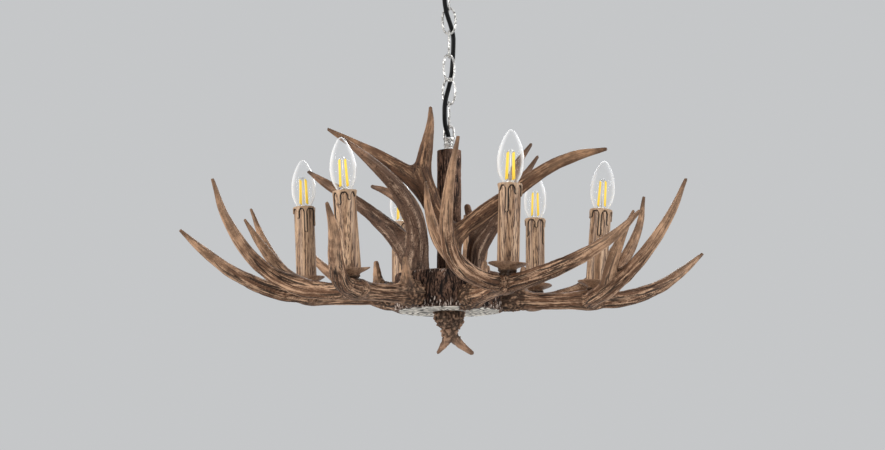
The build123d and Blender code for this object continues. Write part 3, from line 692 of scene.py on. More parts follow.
def antler_resin(name, dark, middle, pale, tip, wear, lined=1.0, mottle=0.0):
    """Cast resin painted as antler: brown with tan ridges, long dark lines along the grain, dark stain left in the
    grooves, painted shade in the forks and round the root, and smoother tines whose very ends are dark again.
    wear takes the tan back, lined is how strong the lines are and mottle how many dark freckles there are."""
    resin = Finish(name, Specular_IOR_Level=0.22)
    grain = resin.mask("grain", out=1)
    long_grain = resin.node("ShaderNodeMapping", None, grain, Scale=(1, 1, 0.045))
    short_grain = resin.node("ShaderNodeMapping", None, grain, Scale=(1, 1, 0.12))
    broad = resin.noise(long_grain, 4.6, 2.0)
    line = resin.noise(long_grain, 2.3, 2.0, 0.6)
    fibre = resin.noise(short_grain, 0.8, 3.0, 0.6)
    patch = resin.noise(resin.place(), 16, 3.0, 0.6)
    freckle = resin.noise(resin.place(), 1.9, 3.0, 0.6)
    groove, polish, pearl, root, fork, end = (resin.mask(mask) for mask in
                                              ("groove", "polish", "pearl", "root", "fork", "end"))
    rubbed = (broad * 0.6 + patch * 0.25 + fibre * 0.3 - groove * 0.12).clip(0.47 + wear, 0.65 + wear)
    ground = resin.mix(rubbed, middle, pale)
    horn = resin.mix((patch * 0.55 + broad * 0.35 + line * 0.15).clip(0.44, 0.62), [0.45 * t for t in tip], tip)
    horn = resin.mix((line * 0.5 + freckle * 0.5).clip(0.5, 0.64) * 0.5, horn, [1.25 * t for t in pale])
    ground = resin.mix(polish * 0.85, ground, horn)
    lines = (line * 0.85 + broad * 0.15 - polish * 0.012).clip(0.53, 0.585) * (1 - polish * 0.3) * lined
    ground = resin.mix(lines * 0.9, ground, dark)
    ground = resin.mix((groove * 0.8 + freckle * 0.3 - 0.3).clip(0.05, 0.8) * (0.8 - polish * 0.6), ground, dark)
    ground = resin.mix(freckle.clip(0.56, 0.68) * (mottle + 0.12), ground, dark)
    # painted shade: darker in the forks and round the root, in uneven patches
    fork_and_root_shade = (root * 0.6 + fork * 0.5 + patch * 0.5 - 0.3 - pearl * 0.3).clip(0.15, 0.9)
    ground = resin.mix(fork_and_root_shade * 0.75, ground, dark)
    # more painted shade round the root, between the pearls
    ground = resin.mix((root * 0.9 - pearl).clip(0.1, 0.8) * 0.6, ground, dark)
    ground = resin.mix(pearl * 0.6, ground, [0.6 * m + 0.4 * p for m, p in zip(middle, pale)])
    ground = resin.mix(end * 0.6, ground, [0.4 * m + 0.6 * d for m, d in zip(middle, dark)])
    height = fibre * 0.4 + line * 0.4 + freckle * (0.15 + mottle) - lines * 0.5
    return resin.end(Base_Color=ground, Roughness=0.6 - polish * 0.16 + fibre * 0.12,
                     Normal=resin.bump(height, 0.45))


# the dark of the stain in grooves and lines, also used for the painted shade in the forks and round the roots
stain_and_shade_dark, resin_brown = (0.014, 0.007, 0.004), (0.15, 0.073, 0.039)
resin_tan, resin_tip = (0.6, 0.375, 0.235), (0.47, 0.275, 0.16)
brown_resin = antler_resin("brown_resin", stain_and_shade_dark, resin_brown, resin_tan, resin_tip, 0.0)

# stations along each branch: outward, sideways, up and radius, in the arm's own millimetres
beam = ((-16, 0, 0, 13.5), (22, 1, 0, 13), (60, 1, -2, 12), (98, 0, -1, 12), (134, 0, 0, 12))
burr = ((-16, 0, 0, 12), (-2, 0, 0, 15), (12, 0, 0, 16.5), (26, 1, 0, 11.5))
low_tine = ((112, 0, 0, 10), (171, 20, 4, 11.5), (224, 60, 25, 9.5), (262, 94, 54, 6.5), (290, 112, 80, 2.2))
tall_tine = ((124, 10, 0, 9), (136, -40, 2, 12), (163, -85, 17, 11), (198, -112, 50, 9), (233, -123, 103, 6),
             (254, -123, 152, 2.3))
short_tine = ((150, -66, 8, 8), (156, -103, 37, 8.5), (169, -125, 72, 6), (185, -138, 107, 2.0))
brow_tine = ((26, 5, 2, 8.5), (30, 9, 26, 6.2), (32, 10, 44, 3.8))

# each arm: its turn about the stem, lift, pitch, roll, size and the outward lean of its candle
arms = ((21.0, -2.0, 2.0, -3.5, 0.95, 4.5), (83.5, 2.0, -1.5, 1.5, 0.97, 5.0), (140.5, 13.0, 1.5, -2.0, 1.01, 1.0),
        (199.0, 8.0, 4.0, 4.0, 1.08, 2.0), (262.5, 10.0, 0.0, 0.5, 0.97, 3.0), (321.0, 4.0, -2.5, 2.5, 0.98, 7.0))
arm_radius, arm_height = 70 * mm, 15 * mm
up = np.array((0.0, 0.0, 1.0))
hub_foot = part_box("hub_cover")[0].z


def arm_frame(turn, lift, pitch, roll):
    """Origin and directions of an arm that leaves the hub's side."""
    outward = np.array((math.sin(math.radians(turn)), -math.cos(math.radians(turn)), 0))
    sideways = np.array((math.cos(math.radians(turn)), math.sin(math.radians(turn)), 0))
    pitch, roll = math.radians(pitch), math.radians(roll)
    x_dir = outward * math.cos(pitch) + up * math.sin(pitch)
    tipped_up = up * math.cos(pitch) - outward * math.sin(pitch)
    z_dir = tipped_up * math.cos(roll) - sideways * math.sin(roll)
    origin = outward * arm_radius + up * (hub_foot + arm_height + lift * mm)
    return origin, x_dir, np.cross(z_dir, x_dir), z_dir, outward


lower_mould = antler_skin("lower_mould", (beam, burr, low_tine, tall_tine, short_tine, brow_tine), brown_resin,
                          seed=3, pearls=((0, 0, 0), 22, 60))
for i, (turn, lift, pitch, roll, size, lean) in enumerate(arms):
    origin, x_dir, y_dir, z_dir, outward = arm_frame(turn, lift, pitch, roll)
    piece = place_mesh(f"arm_antler_{i + 1}", lower_mould, origin, x_dir, y_dir, z_dir, size)
    stand_in(piece, "fixture", f"lower_antler_{i + 1}")

# ---- Upright antlers -------------------------------------------------------------------------------
# Three more castings stand on studs in the hub's top: a broad one with a deep crotch in front of the stem,
# a greyer forked one left of it and a slim one at the back. Their millimetres are the hub top's own.
crotch_antler = (
    ((8, -36, -8, 12), (6, -36, 15, 11.5), (2, -35, 40, 12), (-8, -34, 68, 11.5)),
    ((-2, -35, 46, 9), (-14, -33, 74, 11.5), (-28, -30, 104, 13), (-40, -28, 134, 12.5)),
    ((-30, -30, 108, 10), (-54, -27, 133, 12), (-92, -24, 159, 9.5), (-134, -19, 182, 6.8), (-169, -14, 203, 2.2)),
    ((-38, -28, 128, 9), (-34, -27, 160, 10.5), (-29, -25, 190, 7.5), (-26, -24, 212, 5), (-26, -22, 232, 2.4)),
    ((0, -36, 36, 9), (20, -35, 58, 11), (42, -36, 76, 12), (76, -40, 100, 11), (131, -46, 139, 9),
     (172, -50, 157, 7.5), (213, -54, 166, 2.6)))
forked_antler = (
    ((-46, -36, -8, 17), (-45, -38, 12, 16), (-43, -46, 42, 14.5), (-50, -54, 75, 13.2), (-71, -66, 110, 10.5),
     (-104, -84, 141, 7.4), (-143, -105, 170, 2.2)),
    ((-46, -34, 2, 13), (-66, -26, 42, 15), (-103, -16, 79, 10.5), (-145, -9, 111, 8.4), (-171, -6, 127, 6.5),
     (-196, -4, 144, 2.4)),
    ((-54, -50, 80, 8), (-71, -46, 99, 6.5), (-88, -42, 110, 5), (-105, -37, 117, 2.6)))
rear_antler = (
    ((36, 8, -8, 13), (36, 8, 12, 12.5), (39, 9, 35, 12.5), (54, 12, 61, 11.5), (78, 18, 99, 8.5),
     (103, 24, 137, 5), (126, 30, 173, 2)),
    ((68, 14, 80, 8), (84, 20, 122, 7.4), (96, 28, 160, 5.6), (117, 36, 192, 2.2)),
    ((38, 9, 42, 8), (34, 13, 66, 6.2), (29, 18, 84, 5.6), (26, 21, 98, 4.8)))
grey_resin = antler_resin("grey_resin", stain_and_shade_dark, (0.12, 0.066, 0.042), (0.5, 0.34, 0.235),
                          (0.27, 0.145, 0.083), 0.06, lined=0.3, mottle=0.8)
deep_resin = antler_resin("deep_resin", stain_and_shade_dark, (0.11, 0.052, 0.027), (0.46, 0.265, 0.15),
                          (0.36, 0.2, 0.11), 0.03, lined=0.75)
for i, (branches, material, web, gnarl) in enumerate(((crotch_antler, deep_resin, 4.5, 0.7),
                                                      (forked_antler, grey_resin, 5, 1.0),
                                                      (rear_antler, grey_resin, 5, 1.0))):
    mesh = antler_skin("upright", branches, material, seed=101 + 37 * i, web=web, gnarl=gnarl,
                       pearls=(branches[0][0][:3], 10, 34), pearl_height=1.0)
    piece = place_mesh(f"upright_antler_{i + 1}", mesh, (0, 0, hub_high.z), *np.eye(3))
    stand_in(piece, "fixture", f"upper_antler_{i + 1}")

# ---- Finial ----------------------------------------------------------------------------------------
# The crown of a small antler hangs head down under the hub, screwed on the end of the stem tube: a knobbly
# round head, a waist and two short prongs that curl apart.
crown_head, crown_waist = 21.5, 8.2
finial_branches = (
    ((0, 0, -1, 0.92 * crown_head), (0, 0, -5, 0.93 * crown_head), (0, 0, -9, 0.8 * crown_head),
     (0, 0, -14, 0.6 * crown_head), (0, 0, -21, 0.46 * crown_head), (0, 0, -29, crown_waist)),
    ((1, 0, -23, 8.4), (-2, 0, -35, 6.6), (-8, 1, -46, 4.6), (-15, 2, -55, 2.4)),
    ((1, 0, -23, 8.4), (6, 0, -34, 6.8), (17, -1, -46, 5.2), (30, -3, -56, 3.2)))
rough_resin = antler_resin("rough_resin", stain_and_shade_dark, (0.2, 0.105, 0.064), (0.66, 0.43, 0.29),
                           (0.4, 0.23, 0.14), -0.02, lined=0.6, mottle=0.6)
crown_mesh = antler_skin("crown", finial_branches, rough_resin, seed=401, web=1.6, pearls=((0, 0, -4), 26, 52),
                         pearl_height=3.0, gnarl=1.3)
crown = place_mesh("crown", crown_mesh, (0, 0, hub_foot), *np.eye(3))
stand_in(crown, "fixture", "finial")

# ---- Stem ------------------------------------------------------------------------------------------
# A straight branch with its bark on, bored through and slipped over the threaded tube. Its furrows run
# upright and its top end is cut square.
def barked_wall(radius, low, high, sides, rows, seed, furrow_width, furrow_run, depth, wander):
    """Grid of points round a barked side wall, all in millimetres, and how deep each lies in a furrow."""
    angles, heights = np.meshgrid(np.linspace(0, 2 * math.pi, sides, endpoint=False), np.linspace(low, high, rows))
    angles, heights = angles.ravel(), heights.ravel()
    ring = np.column_stack([np.cos(angles), np.sin(angles)])
    trail = np.column_stack([ring * radius / furrow_width, heights / furrow_run])
    trail[:, 2] += wander * perlin(trail * 0.4, seed + 3)
    furrow = np.maximum(creases(trail, seed, 2.6, 0.25, 0.95),
                        0.7 * creases(trail * (2.1, 2.1, 1.4) + 7, seed + 1, 2.6, 0.3, 0.95))
    plates = perlin(np.column_stack([ring * radius / (furrow_width * 2.2), heights / furrow_run]), seed + 2)
    reach = radius + depth * (0.45 * plates - 1.0 * furrow + 0.3)
    return np.column_stack([ring * reach[:, None], heights]), furrow


def level_ring(radius, height, turns):
    """A level ring of points about the axis, at the angles turns."""
    return np.column_stack([radius * np.cos(turns), radius * np.sin(turns), np.full(len(turns), height)])


def bark(name, ridge, plate, fleck, fleck_share):
    """Weathered bark: black-brown furrows, mottled brown plates, and pale worn flecks, fleck_share strong
    everywhere and stronger where the points' own mask says that the bark is bare."""
    skin = Finish(name, Specular_IOR_Level=0.2)
    furrow, bare = skin.mask("furrow"), skin.mask("bare")
    tall = skin.place((1, 1, 0.3))
    fibre = skin.noise(tall, 1.0, 4.0, 0.65)
    flecks = skin.noise(tall, 1.7, 3.0, 0.65, Distortion=0.6)
    patch = skin.noise(skin.place((1, 1, 0.6)), 11, 3.0, 0.6)
    ground = skin.mix((patch * 0.45 + fibre * 0.6).clip(0.44, 0.62), ridge, plate)
    shown = (flecks + bare * 0.16 - furrow * 0.2).clip(0.6, 0.7) * (bare * 0.75 + fleck_share)
    ground = skin.mix(shown, ground, fleck)
    ground = skin.mix((furrow * 0.9 + fibre * 0.7 - 0.42).clip(0.1, 0.8), ground, (0.01, 0.006, 0.005))
    return skin.end(Base_Color=ground, Roughness=fibre * 0.2 + 0.66,
                    Normal=skin.bump(fibre * 0.6 + flecks * 0.4, 0.8))


stem_low, stem_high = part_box("stem_sleeve")
stem_radius, stem_bore, stem_sides, stem_rows = stem_high.x - 0.4 * mm, 5.2 * mm, 132, 120
wall, furrow = barked_wall(stem_radius / mm, stem_low.z / mm, stem_high.z / mm, stem_sides, stem_rows,
                           seed=21, furrow_width=3.6, furrow_run=42, depth=1.2, wander=0.6)
turns = np.linspace(0, 2 * math.pi, stem_sides, endpoint=False)
cut_end = stem_high.z - 0.8 * mm
inner_rings = [level_ring(radius, cut_end + lift * mm, turns)
               for radius, lift in ((stem_radius * 0.86, 0.8), (stem_radius * 0.6, 0.9), (stem_bore, 0.7))]
inner_rings.append(level_ring(stem_bore, stem_low.z, turns))
points = np.vstack([wall * mm, *inner_rings])
faces = grid_faces(stem_sides, stem_rows + len(inner_rings), closed=True)
stem_bark = bark("stem_bark", (0.085, 0.046, 0.03), (0.34, 0.195, 0.13), (0.85, 0.6, 0.46), 0.9)
branch = new_piece("branch", points, faces, stem_bark, flat_angle=60)
store(branch.data, "furrow", np.concatenate([furrow, np.full(len(points) - len(furrow), 0.35)]))
store(branch.data, "bare", np.zeros(len(points)))
stand_in(branch, "fixture", "stem_sleeve")

# ---- Hub -------------------------------------------------------------------------------------------
# A slice of log that lies flat: rough bark round it, its top planed and stained dark, hollowed from below
# for the splices of the leads.
drum_low, drum_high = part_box("hub_log_slice")
drum_radius, drum_sides, drum_rows = drum_high.x - 1.2 * mm, 420, 64
rim_round = 2.2 * mm
wall, furrow = barked_wall(drum_radius / mm, (drum_low.z + rim_round) / mm, (drum_high.z - rim_round) / mm,
                           drum_sides, drum_rows, seed=61, furrow_width=4.0, furrow_run=20, depth=1.9, wander=0.9)
wall *= mm
turns = np.linspace(0, 2 * math.pi, drum_sides, endpoint=False)
pocket_radius, pocket_top, ripple_width = 70.2 * mm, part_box("hub_cover")[1].z, 7 * mm


def rippled_ring(radius, height, ripple, seed):
    """A ring of points about the hub's axis, whose height goes up and down by ripple."""
    ring = level_ring(radius, height, turns)
    ring[:, 2] += ripple * perlin(np.column_stack([ring[:, :2] / ripple_width, np.zeros(len(turns))]), seed)
    return ring


planed = drum_high.z - 0.6 * mm
under = [level_ring(pocket_radius, pocket_top, turns),
         rippled_ring(pocket_radius, drum_low.z + 0.8 * mm, 0.5 * mm, 70),
         rippled_ring(drum_radius - 2.2 * mm, drum_low.z + 0.6 * mm, 0.6 * mm, 71),
         rippled_ring(drum_radius - 0.7 * mm, drum_low.z + 1.2 * mm, 0.5 * mm, 72)]
over = [rippled_ring(drum_radius - 0.7 * mm, drum_high.z - 1.1 * mm, 0.5 * mm, 73),
        rippled_ring(drum_radius - 2.4 * mm, drum_high.z - 0.5 * mm, 0.4 * mm, 74)]
over += [rippled_ring(drum_radius * share, planed, 0.35 * mm, 75 + i)
         for i, share in enumerate((0.9, 0.8, 0.65, 0.5, 0.35, 0.2, 0.07))]
over += [level_ring(thread_radius, height, turns) for height in (planed, pocket_top)]
points = np.vstack([*under, wall, *over])
faces = grid_faces(drum_sides, len(under) + drum_rows + len(over), closed=True)
hub_bark = bark("hub_bark", (0.035, 0.019, 0.013), (0.2, 0.11, 0.072), (0.6, 0.5, 0.43), 0.3)
drum = new_piece("log_slice", points, faces, hub_bark, flat_angle=60)
before, after = len(under) * drum_sides, len(over) * drum_sides
store(drum.data, "furrow", np.concatenate([np.full(before, 0.3), furrow, np.full(after, 0.3)]))
# the bark is bare, and so paler, below one uneven line near its foot and above another near its top
high_edge = drum_high.z / mm - 6 + 5 * perlin(wall / mm * (0.08, 0.08, 0), 81)
low_edge = drum_low.z / mm + 13 + 9 * perlin(wall / mm * (0.07, 0.07, 0), 82)
bare = np.maximum(1 - step_up(wall[:, 2] / mm, low_edge - 5, low_edge + 3),
                  0.7 * step_up(wall[:, 2] / mm, high_edge - 2, high_edge + 4))
store(drum.data, "bare", np.concatenate([np.full(before, 0.8), bare, np.full(after, 0.3)]))


def end_grain(name, light, dark, line, ring_gap, cracks):
    """Planed end of a log: darker growth rings round the pith, with fine cracks."""
    wood = Finish(name)
    place = wood.place((1, 1, 0))
    length = wood.node("ShaderNodeVectorMath", {"operation": "LENGTH"}, place, out=1)
    wander = wood.noise(place, 22, 2.0)
    ripple = wood.noise(place, 4, 2.0)
    ringed = (length * (1 / ring_gap) + wander * 3.2 + ripple * 0.5) * (2 * math.pi)
    lines = wood.sum("SINE", ringed).clip(0.15, 0.95)
    fine = wood.noise(place, 0.7, 3.0)
    patch = wood.noise(place, 9, 3.0, 0.6)
    ground = wood.mix((patch * 0.7 + fine * 0.3).clip(0.36, 0.62), dark, light)
    ground = wood.mix(lines * ripple.clip(0.35, 0.6) * 0.9, ground, line)
    ground = wood.mix((fine * 0.6 + ripple * 0.4).clip(0.56, 0.66) * cracks, ground, line)
    return wood.end(Base_Color=ground, Roughness=fine * 0.2 + 0.6,
                    Normal=wood.bump(lines * -0.5 + fine * 0.5, 0.5))


drum_top = end_grain("dark_end_grain", (0.13, 0.075, 0.045), (0.06, 0.034, 0.022), (0.02, 0.012, 0.008),
                     ring_gap=3.2, cracks=0.5)
drum.data.materials.append(drum_top)
first_top_face = (len(under) + drum_rows + 1) * drum_sides
last_top_face = -2 * drum_sides  # the bore's wall and the chamber's roof come after the top
for face in drum.data.polygons[first_top_face:last_top_face]:
    face.material_index = 1
stand_in(drum, "fixture", "hub_log_slice")

# ---- Hub cover -------------------------------------------------------------------------------------
# A thin sawn slice let into the hub's underside and held up by the finial. Its end grain is bleached and full
# of large knots, each a dark eye with dark rings round it.
cover_low, cover_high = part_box("hub_cover")
cover_radius, cover_bore = cover_high.x - 0.1 * mm, 5.2 * mm
knot_tall, knots_round = 31.0, 9  # a knot's size outward in millimetres, and how many go round


def cover_ripple(angle, radius, height):
    """The sawn slice's slightly uneven edge."""
    return 0.25 * mm * math.sin(11 * angle) if radius > 60 * mm else 0


def scaly_grain():
    """The cover's bleached end grain: large knots, each a dark eye with broken rings round it. They are laid
    out by distance from the stem and by the angle round it."""
    wood = Finish("scaly_grain")
    flat = wood.place((1, 1, 0))
    around = wood.node("ShaderNodeVectorMath", {"operation": "NORMALIZE"}, flat)
    far = wood.node("ShaderNodeVectorMath", {"operation": "LENGTH"}, flat, out=1)
    wander = wood.noise(flat, 26, 2.0)
    level = (far + wander * 9) * (1 / knot_tall)
    spread = wood.node("ShaderNodeVectorMath", {"operation": "SCALE"}, around, Scale=knots_round / (2 * math.pi))
    lifted = wood.node("ShaderNodeCombineXYZ", None, 0.0, 0.0, level)
    spot = wood.node("ShaderNodeVectorMath", {"operation": "ADD"}, spread, lifted)
    edge, eye = (wood.node("ShaderNodeTexVoronoi", {"feature": feature}, spot, Scale=1.0, Randomness=0.45)
                 for feature in ("DISTANCE_TO_EDGE", "F1"))
    fine = wood.noise(flat, 0.8, 3.0, 0.6)
    cloud = wood.noise(flat, 7, 3.0)
    ground = wood.mix((cloud * 0.7 + fine * 0.3).clip(0.38, 0.62), (0.7, 0.64, 0.54), (0.9, 0.86, 0.78))
    dark = (0.02, 0.014, 0.011)
    dash = wood.noise(flat, 2.6, 2.0, 0.6)
    rings = wood.sum("SINE", (eye + cloud * 0.07 + fine * 0.02) * (10 * math.pi))
    ground = wood.mix((rings * 0.8 + dash * 1.6 - 0.8).clip(-0.1, 0.4) * 0.88, ground, dark)
    ground = wood.mix((1 - (eye + fine * 0.04 - 0.02).clip(0.05, 0.09)) * 0.97, ground, dark)
    ground = wood.mix((1 - (edge + fine * 0.04 - 0.02).clip(0.0, 0.03)) * 0.6, ground, dark)
    ground = wood.mix((1 - (far + wander * 6).clip(22, 34)) * 0.55, ground, (0.13, 0.09, 0.065))
    return wood.end(Base_Color=ground, Roughness=fine * 0.2 + 0.6,
                    Normal=wood.bump(rings * -0.2 + fine * 0.4, 0.3))


# radius, and height above the underside, in millimetres, of the cover's gently uneven face
cover_face = [(radius * mm, cover_low.z + rise * mm) for radius, rise in ((20, 0.2), (40, 0.1), (58, 0.2))]
cover_outline = [(cover_bore, cover_low.z), *cover_face, (cover_radius - 1 * mm, cover_low.z),
                 (cover_radius, cover_low.z + 1 * mm), (cover_radius, cover_high.z), (cover_bore, cover_high.z)]
cover = new_piece("cover_slice", *lathe(cover_outline, 120, cover_ripple), scaly_grain())
stand_in(cover, "fixture", "hub_cover")

# ---- Drip pans -------------------------------------------------------------------------------------
# A thin cast dish on a knotty neck under each candle, cut to sit on the arm and clamped by the post. The
# dish is finished as turned wood and the neck as bark.
candle_reach, candle_side, pan_rise = 134, 2, 26  # where an arm's candle stands, in the arm's millimetres


def candle_frame(arm):
    """Origin at the dish's rim level, and the directions of the candle on one arm."""
    turn, lift, pitch, roll, size, lean = arm
    origin, x_dir, y_dir, z_dir, outward = arm_frame(turn, lift, pitch, roll)
    seat = origin + (x_dir * candle_reach + y_dir * candle_side) * size * mm
    axis = up * math.cos(math.radians(lean)) + outward * math.sin(math.radians(lean))
    across = np.cross(outward, axis)
    return seat + axis * pan_rise * mm, across, np.cross(axis, across), axis


def turned_wood(name, light, dark, gloss):
    """Resin finished as turned wood: fine grain lines, darker clouds and, where masked, dark bark."""
    wood = Finish(name, Specular_IOR_Level=0.3)
    fine = wood.noise(wood.place((1, 0.16, 1)), 1.1, 3.0, 0.6)
    cloud = wood.noise(wood.place(), 8, 3.0)
    ground = wood.mix((fine * 0.6 + cloud * 0.5).clip(0.42, 0.68), light, dark)
    ground = wood.mix(wood.mask("furrow").clip(0.2, 1), ground, [0.22 * c for c in dark])
    return wood.end(Base_Color=ground, Roughness=fine * 0.2 + gloss, Normal=wood.bump(fine, 0.4))


def seated(name, vertices, faces, frame_of, material, flat_angle=50):
    """A piece drawn in millimetres about +Z, stood on a candle's frame."""
    origin, across, third, axis = frame_of
    points = origin + np.asarray(vertices) @ np.array([across, third, axis]) * mm
    return new_piece(name, points, faces, material, flat_angle=flat_angle)


pan_radius, pan_depth, pan_floor, pan_neck, pan_bore = 25.6, 9.0, 15.5, 10.6, 4.3
neck_foot, bark_top, edge_from = -pan_rise + 7.0, -7.5, 20
pan_wood = turned_wood("pan_wood", (0.38, 0.23, 0.14), (0.16, 0.088, 0.05), 0.42)
pan_outline = [(pan_neck - 2.2, neck_foot), (pan_neck - 0.2, -18.5), (pan_neck + 1.4, -15.5), (pan_neck - 0.8, -13),
               (pan_neck + 1.2, -10.5), (pan_neck + 0.4, -pan_depth + 0.8), (pan_neck + 2.6, -pan_depth + 2.2),
               (pan_floor + 2.6, -5.0), (pan_radius - 3.2, -2.9), (pan_radius - 0.4, -1.4), (pan_radius + 0.1, -0.6),
               (pan_radius - 0.4, 0.1), (pan_radius - 1.4, -0.2), (pan_radius - 4.6, -1.7), (pan_floor + 1, -3.6),
               (pan_bore, -4.0), (pan_bore, neck_foot)]
for i, arm in enumerate(arms):
    def pan_wave(angle, radius, height, turn=1.7 * i):
        """The dish's rim is a little uneven and its neck knotty."""
        if height < bark_top:
            return 0.9 * math.sin(5 * angle + turn + 0.3 * height) + 0.7 * math.sin(11 * angle - turn + 0.9 * height)
        return 0.35 * math.sin(3 * angle + turn) + 0.2 * math.sin(7 * angle + 2 * turn) if radius > edge_from else 0

    vertices, faces = lathe(pan_outline, 72, pan_wave)
    x, y, z = vertices.T
    z += np.where(np.hypot(x, y) > edge_from - 1, 0.5 * np.sin(2 * np.arctan2(y, x) + i), 0)
    pan = seated(f"candle_pan_{i + 1}", vertices, faces, candle_frame(arm), pan_wood)
    store(pan.data, "furrow", np.clip((bark_top - z) / 2.0, 0, 0.9))
    stand_in(pan, "fixture", f"drip_pan_{i + 1}")

# ---- Candle sleeves --------------------------------------------------------------------------------
# A moulded tube that looks like a turned wooden candle: upright grain, a soft raised rim with scallops, and
# drips that run down from it, each lined with dark stain.
sleeve_radius, sleeve_bore, sleeve_foot, sleeve_top = 14.4, 13.0, -4.0, 100.0
rim_drop, drip_thick, sleeve_sides, sleeve_rows = 3.2, 1.8, 180, 170
drip_lengths = (11.0, 15.0, 21.0, 13.0, 29.0, 38.0, 18.0)
row_crowding = 1.35  # above 1, the rows lie closer together towards the top, where the wax is


def scalloped(angles, heights, seed):
    """How far the wax stands out at each point, from 0 to 1, and how dark the stain line along its edge is."""
    draw, count = np.random.default_rng(seed), len(drip_lengths)
    places = (np.arange(count) + draw.uniform(-0.2, 0.2, count)) * 2 * math.pi / count
    lengths = draw.permutation(drip_lengths) + draw.uniform(-2, 2, count)
    below = sleeve_top - heights
    inside = rim_drop - below
    for place, length in zip(places, lengths):
        arc = (angles - place + math.pi) % (2 * math.pi) - math.pi
        side = arc * sleeve_radius
        half = 1.5 + 0.3 * step_up(below, length - 7, length - 2) + 3.6 * (1 - step_up(below, 1.0, 11.0)) ** 2
        round_end = 1.8 * np.sqrt(np.clip((length - below) / 2.4, 0, 1)) - 1.8
        inside = np.maximum(inside, np.where(below < length, half + round_end - np.abs(side), -3))
    return step_up(inside, -0.2, 0.9), np.exp(-((inside + 0.3) / 0.65) ** 2)


def candle_wood():
    """Tan resin with the upright dark grain of a turned stick, and dark stain in the wax's outline."""
    wood = Finish("candle_wood", Specular_IOR_Level=0.35)
    tall = wood.place((1, 1, 0.014))
    fine = wood.noise(tall, 1.1, 3.0, 0.6)
    broad = wood.noise(tall, 4.2, 2.0, 0.5)
    dash = wood.noise(wood.place((1, 1, 0.12)), 1.3, 2.0)
    glaze, wax = wood.mask("furrow"), wood.mask("wax")
    ground = wood.mix((fine * 0.45 + broad * 0.65).clip(0.42, 0.66), (0.61, 0.4, 0.25), (0.26, 0.145, 0.078))
    ground = wood.mix((fine * 0.7 + dash * 0.4).clip(0.55, 0.61) * 0.9, ground, (0.06, 0.028, 0.015))
    ground = wood.mix(wax * 0.6, ground, (0.5, 0.335, 0.21))
    ground = wood.mix((glaze * 1.2).clip(0.1, 0.7), ground, (0.009, 0.006, 0.005))
    return wood.end(Base_Color=ground, Roughness=fine * 0.2 + 0.34, Normal=wood.bump(fine, 0.3))


sleeve_wood = candle_wood()
turns = np.linspace(0, 2 * math.pi, sleeve_sides, endpoint=False)
for i, arm in enumerate(arms):
    levels = sleeve_top - (sleeve_top - sleeve_foot) * np.linspace(1, 0, sleeve_rows) ** row_crowding
    angles, heights = (grid.ravel() for grid in np.meshgrid(turns, levels))
    wax, glaze = scalloped(angles, heights, seed=300 + i)
    reach = (sleeve_radius - 0.25 + drip_thick * wax - 0.4 * glaze
             - 0.6 * step_up(heights, sleeve_top - 1.6, sleeve_top))
    reach += 0.12 * perlin(np.column_stack([np.cos(angles) * 5, np.sin(angles) * 5, heights / 30]), 310 + i)
    wall = np.column_stack([reach * np.cos(angles), reach * np.sin(angles), heights])
    lip = [level_ring(radius, height, turns)
           for radius, height in ((sleeve_radius - 0.3, sleeve_top - 0.1), (sleeve_bore, sleeve_top - 0.7),
                                  (sleeve_bore, sleeve_top - 6.0), (sleeve_bore, sleeve_foot))]
    points = np.vstack([wall, *lip])
    faces = grid_faces(sleeve_sides, sleeve_rows + len(lip), closed=True)
    candle = seated(f"candle_{i + 1}", points, faces, candle_frame(arm), sleeve_wood)
    unmarked = np.zeros(len(points) - len(wall))
    store(candle.data, "furrow", np.concatenate([glaze, unmarked]))
    store(candle.data, "wax", np.concatenate([wax, unmarked]))
    stand_in(candle, "fixture", f"candle_sleeve_{i + 1}")

# ---- Lamp holders ----------------------------------------------------------------------------------
# An E14 holder of dark moulded plastic sits in each sleeve on its post; its mouth shows under the lamp.
dark_plastic = moulded("dark_plastic", (0.05, 0.042, 0.037))
for i in range(len(arms)):
    dress(f"lamp_holder_{i + 1}", dark_plastic)


def nickelled():
    cap = Finish("nickelled_brass", Metallic=1.0)
    rub = cap.noise(cap.place(), 2.0)
    return cap.end(Base_Color=cap.mix(rub.clip(0.4, 0.62), (0.62, 0.52, 0.34), (0.78, 0.72, 0.58)),
                   Roughness=rub * 0.3 + 0.18)


dress("bulb_caps", nickelled())

# ---- Lamps -----------------------------------------------------------------------------------------
# Clear candle lamps blown to a flame's outline. Each holds four straight yellow filaments on nickel wires
# that stand on a glass foot and are tied at the top.
bulb_length, bulb_radius = 69.0, 17.3
# the flame's outline: shares of the lamp's length and of its widest radius
flame_shares = ((0.0, 0.56), (0.05, 0.63), (0.11, 0.76), (0.19, 0.89), (0.28, 0.97), (0.38, 1.0), (0.48, 0.985),
                (0.58, 0.92), (0.68, 0.82), (0.77, 0.69), (0.86, 0.52), (0.93, 0.35), (0.98, 0.19), (1.0, 0.0))


def clear_glass(name):
    """Thin blown glass: clear to look through and glossy, with a painted reflection that makes it white towards its
    edges and a painted dark line at the very edge.
    """
    glass = Finish(name, Roughness=0.02, Metallic=0.0, IOR=1.5, Specular_IOR_Level=1.0)
    edge = glass.node("ShaderNodeLayerWeight", None, 0.5, out=1)
    # painted reflection: whiter and less clear towards the edges, with a painted dark line at the very edge
    tint = glass.mix(edge.clip(0.8, 0.95), (1.0, 1.0, 1.0), (0.16, 0.17, 0.18))
    return glass.end(Base_Color=tint, Alpha=edge.clip(0.2, 0.66) * 0.62 + edge.clip(0.85, 0.97) * 0.3 + 0.03)


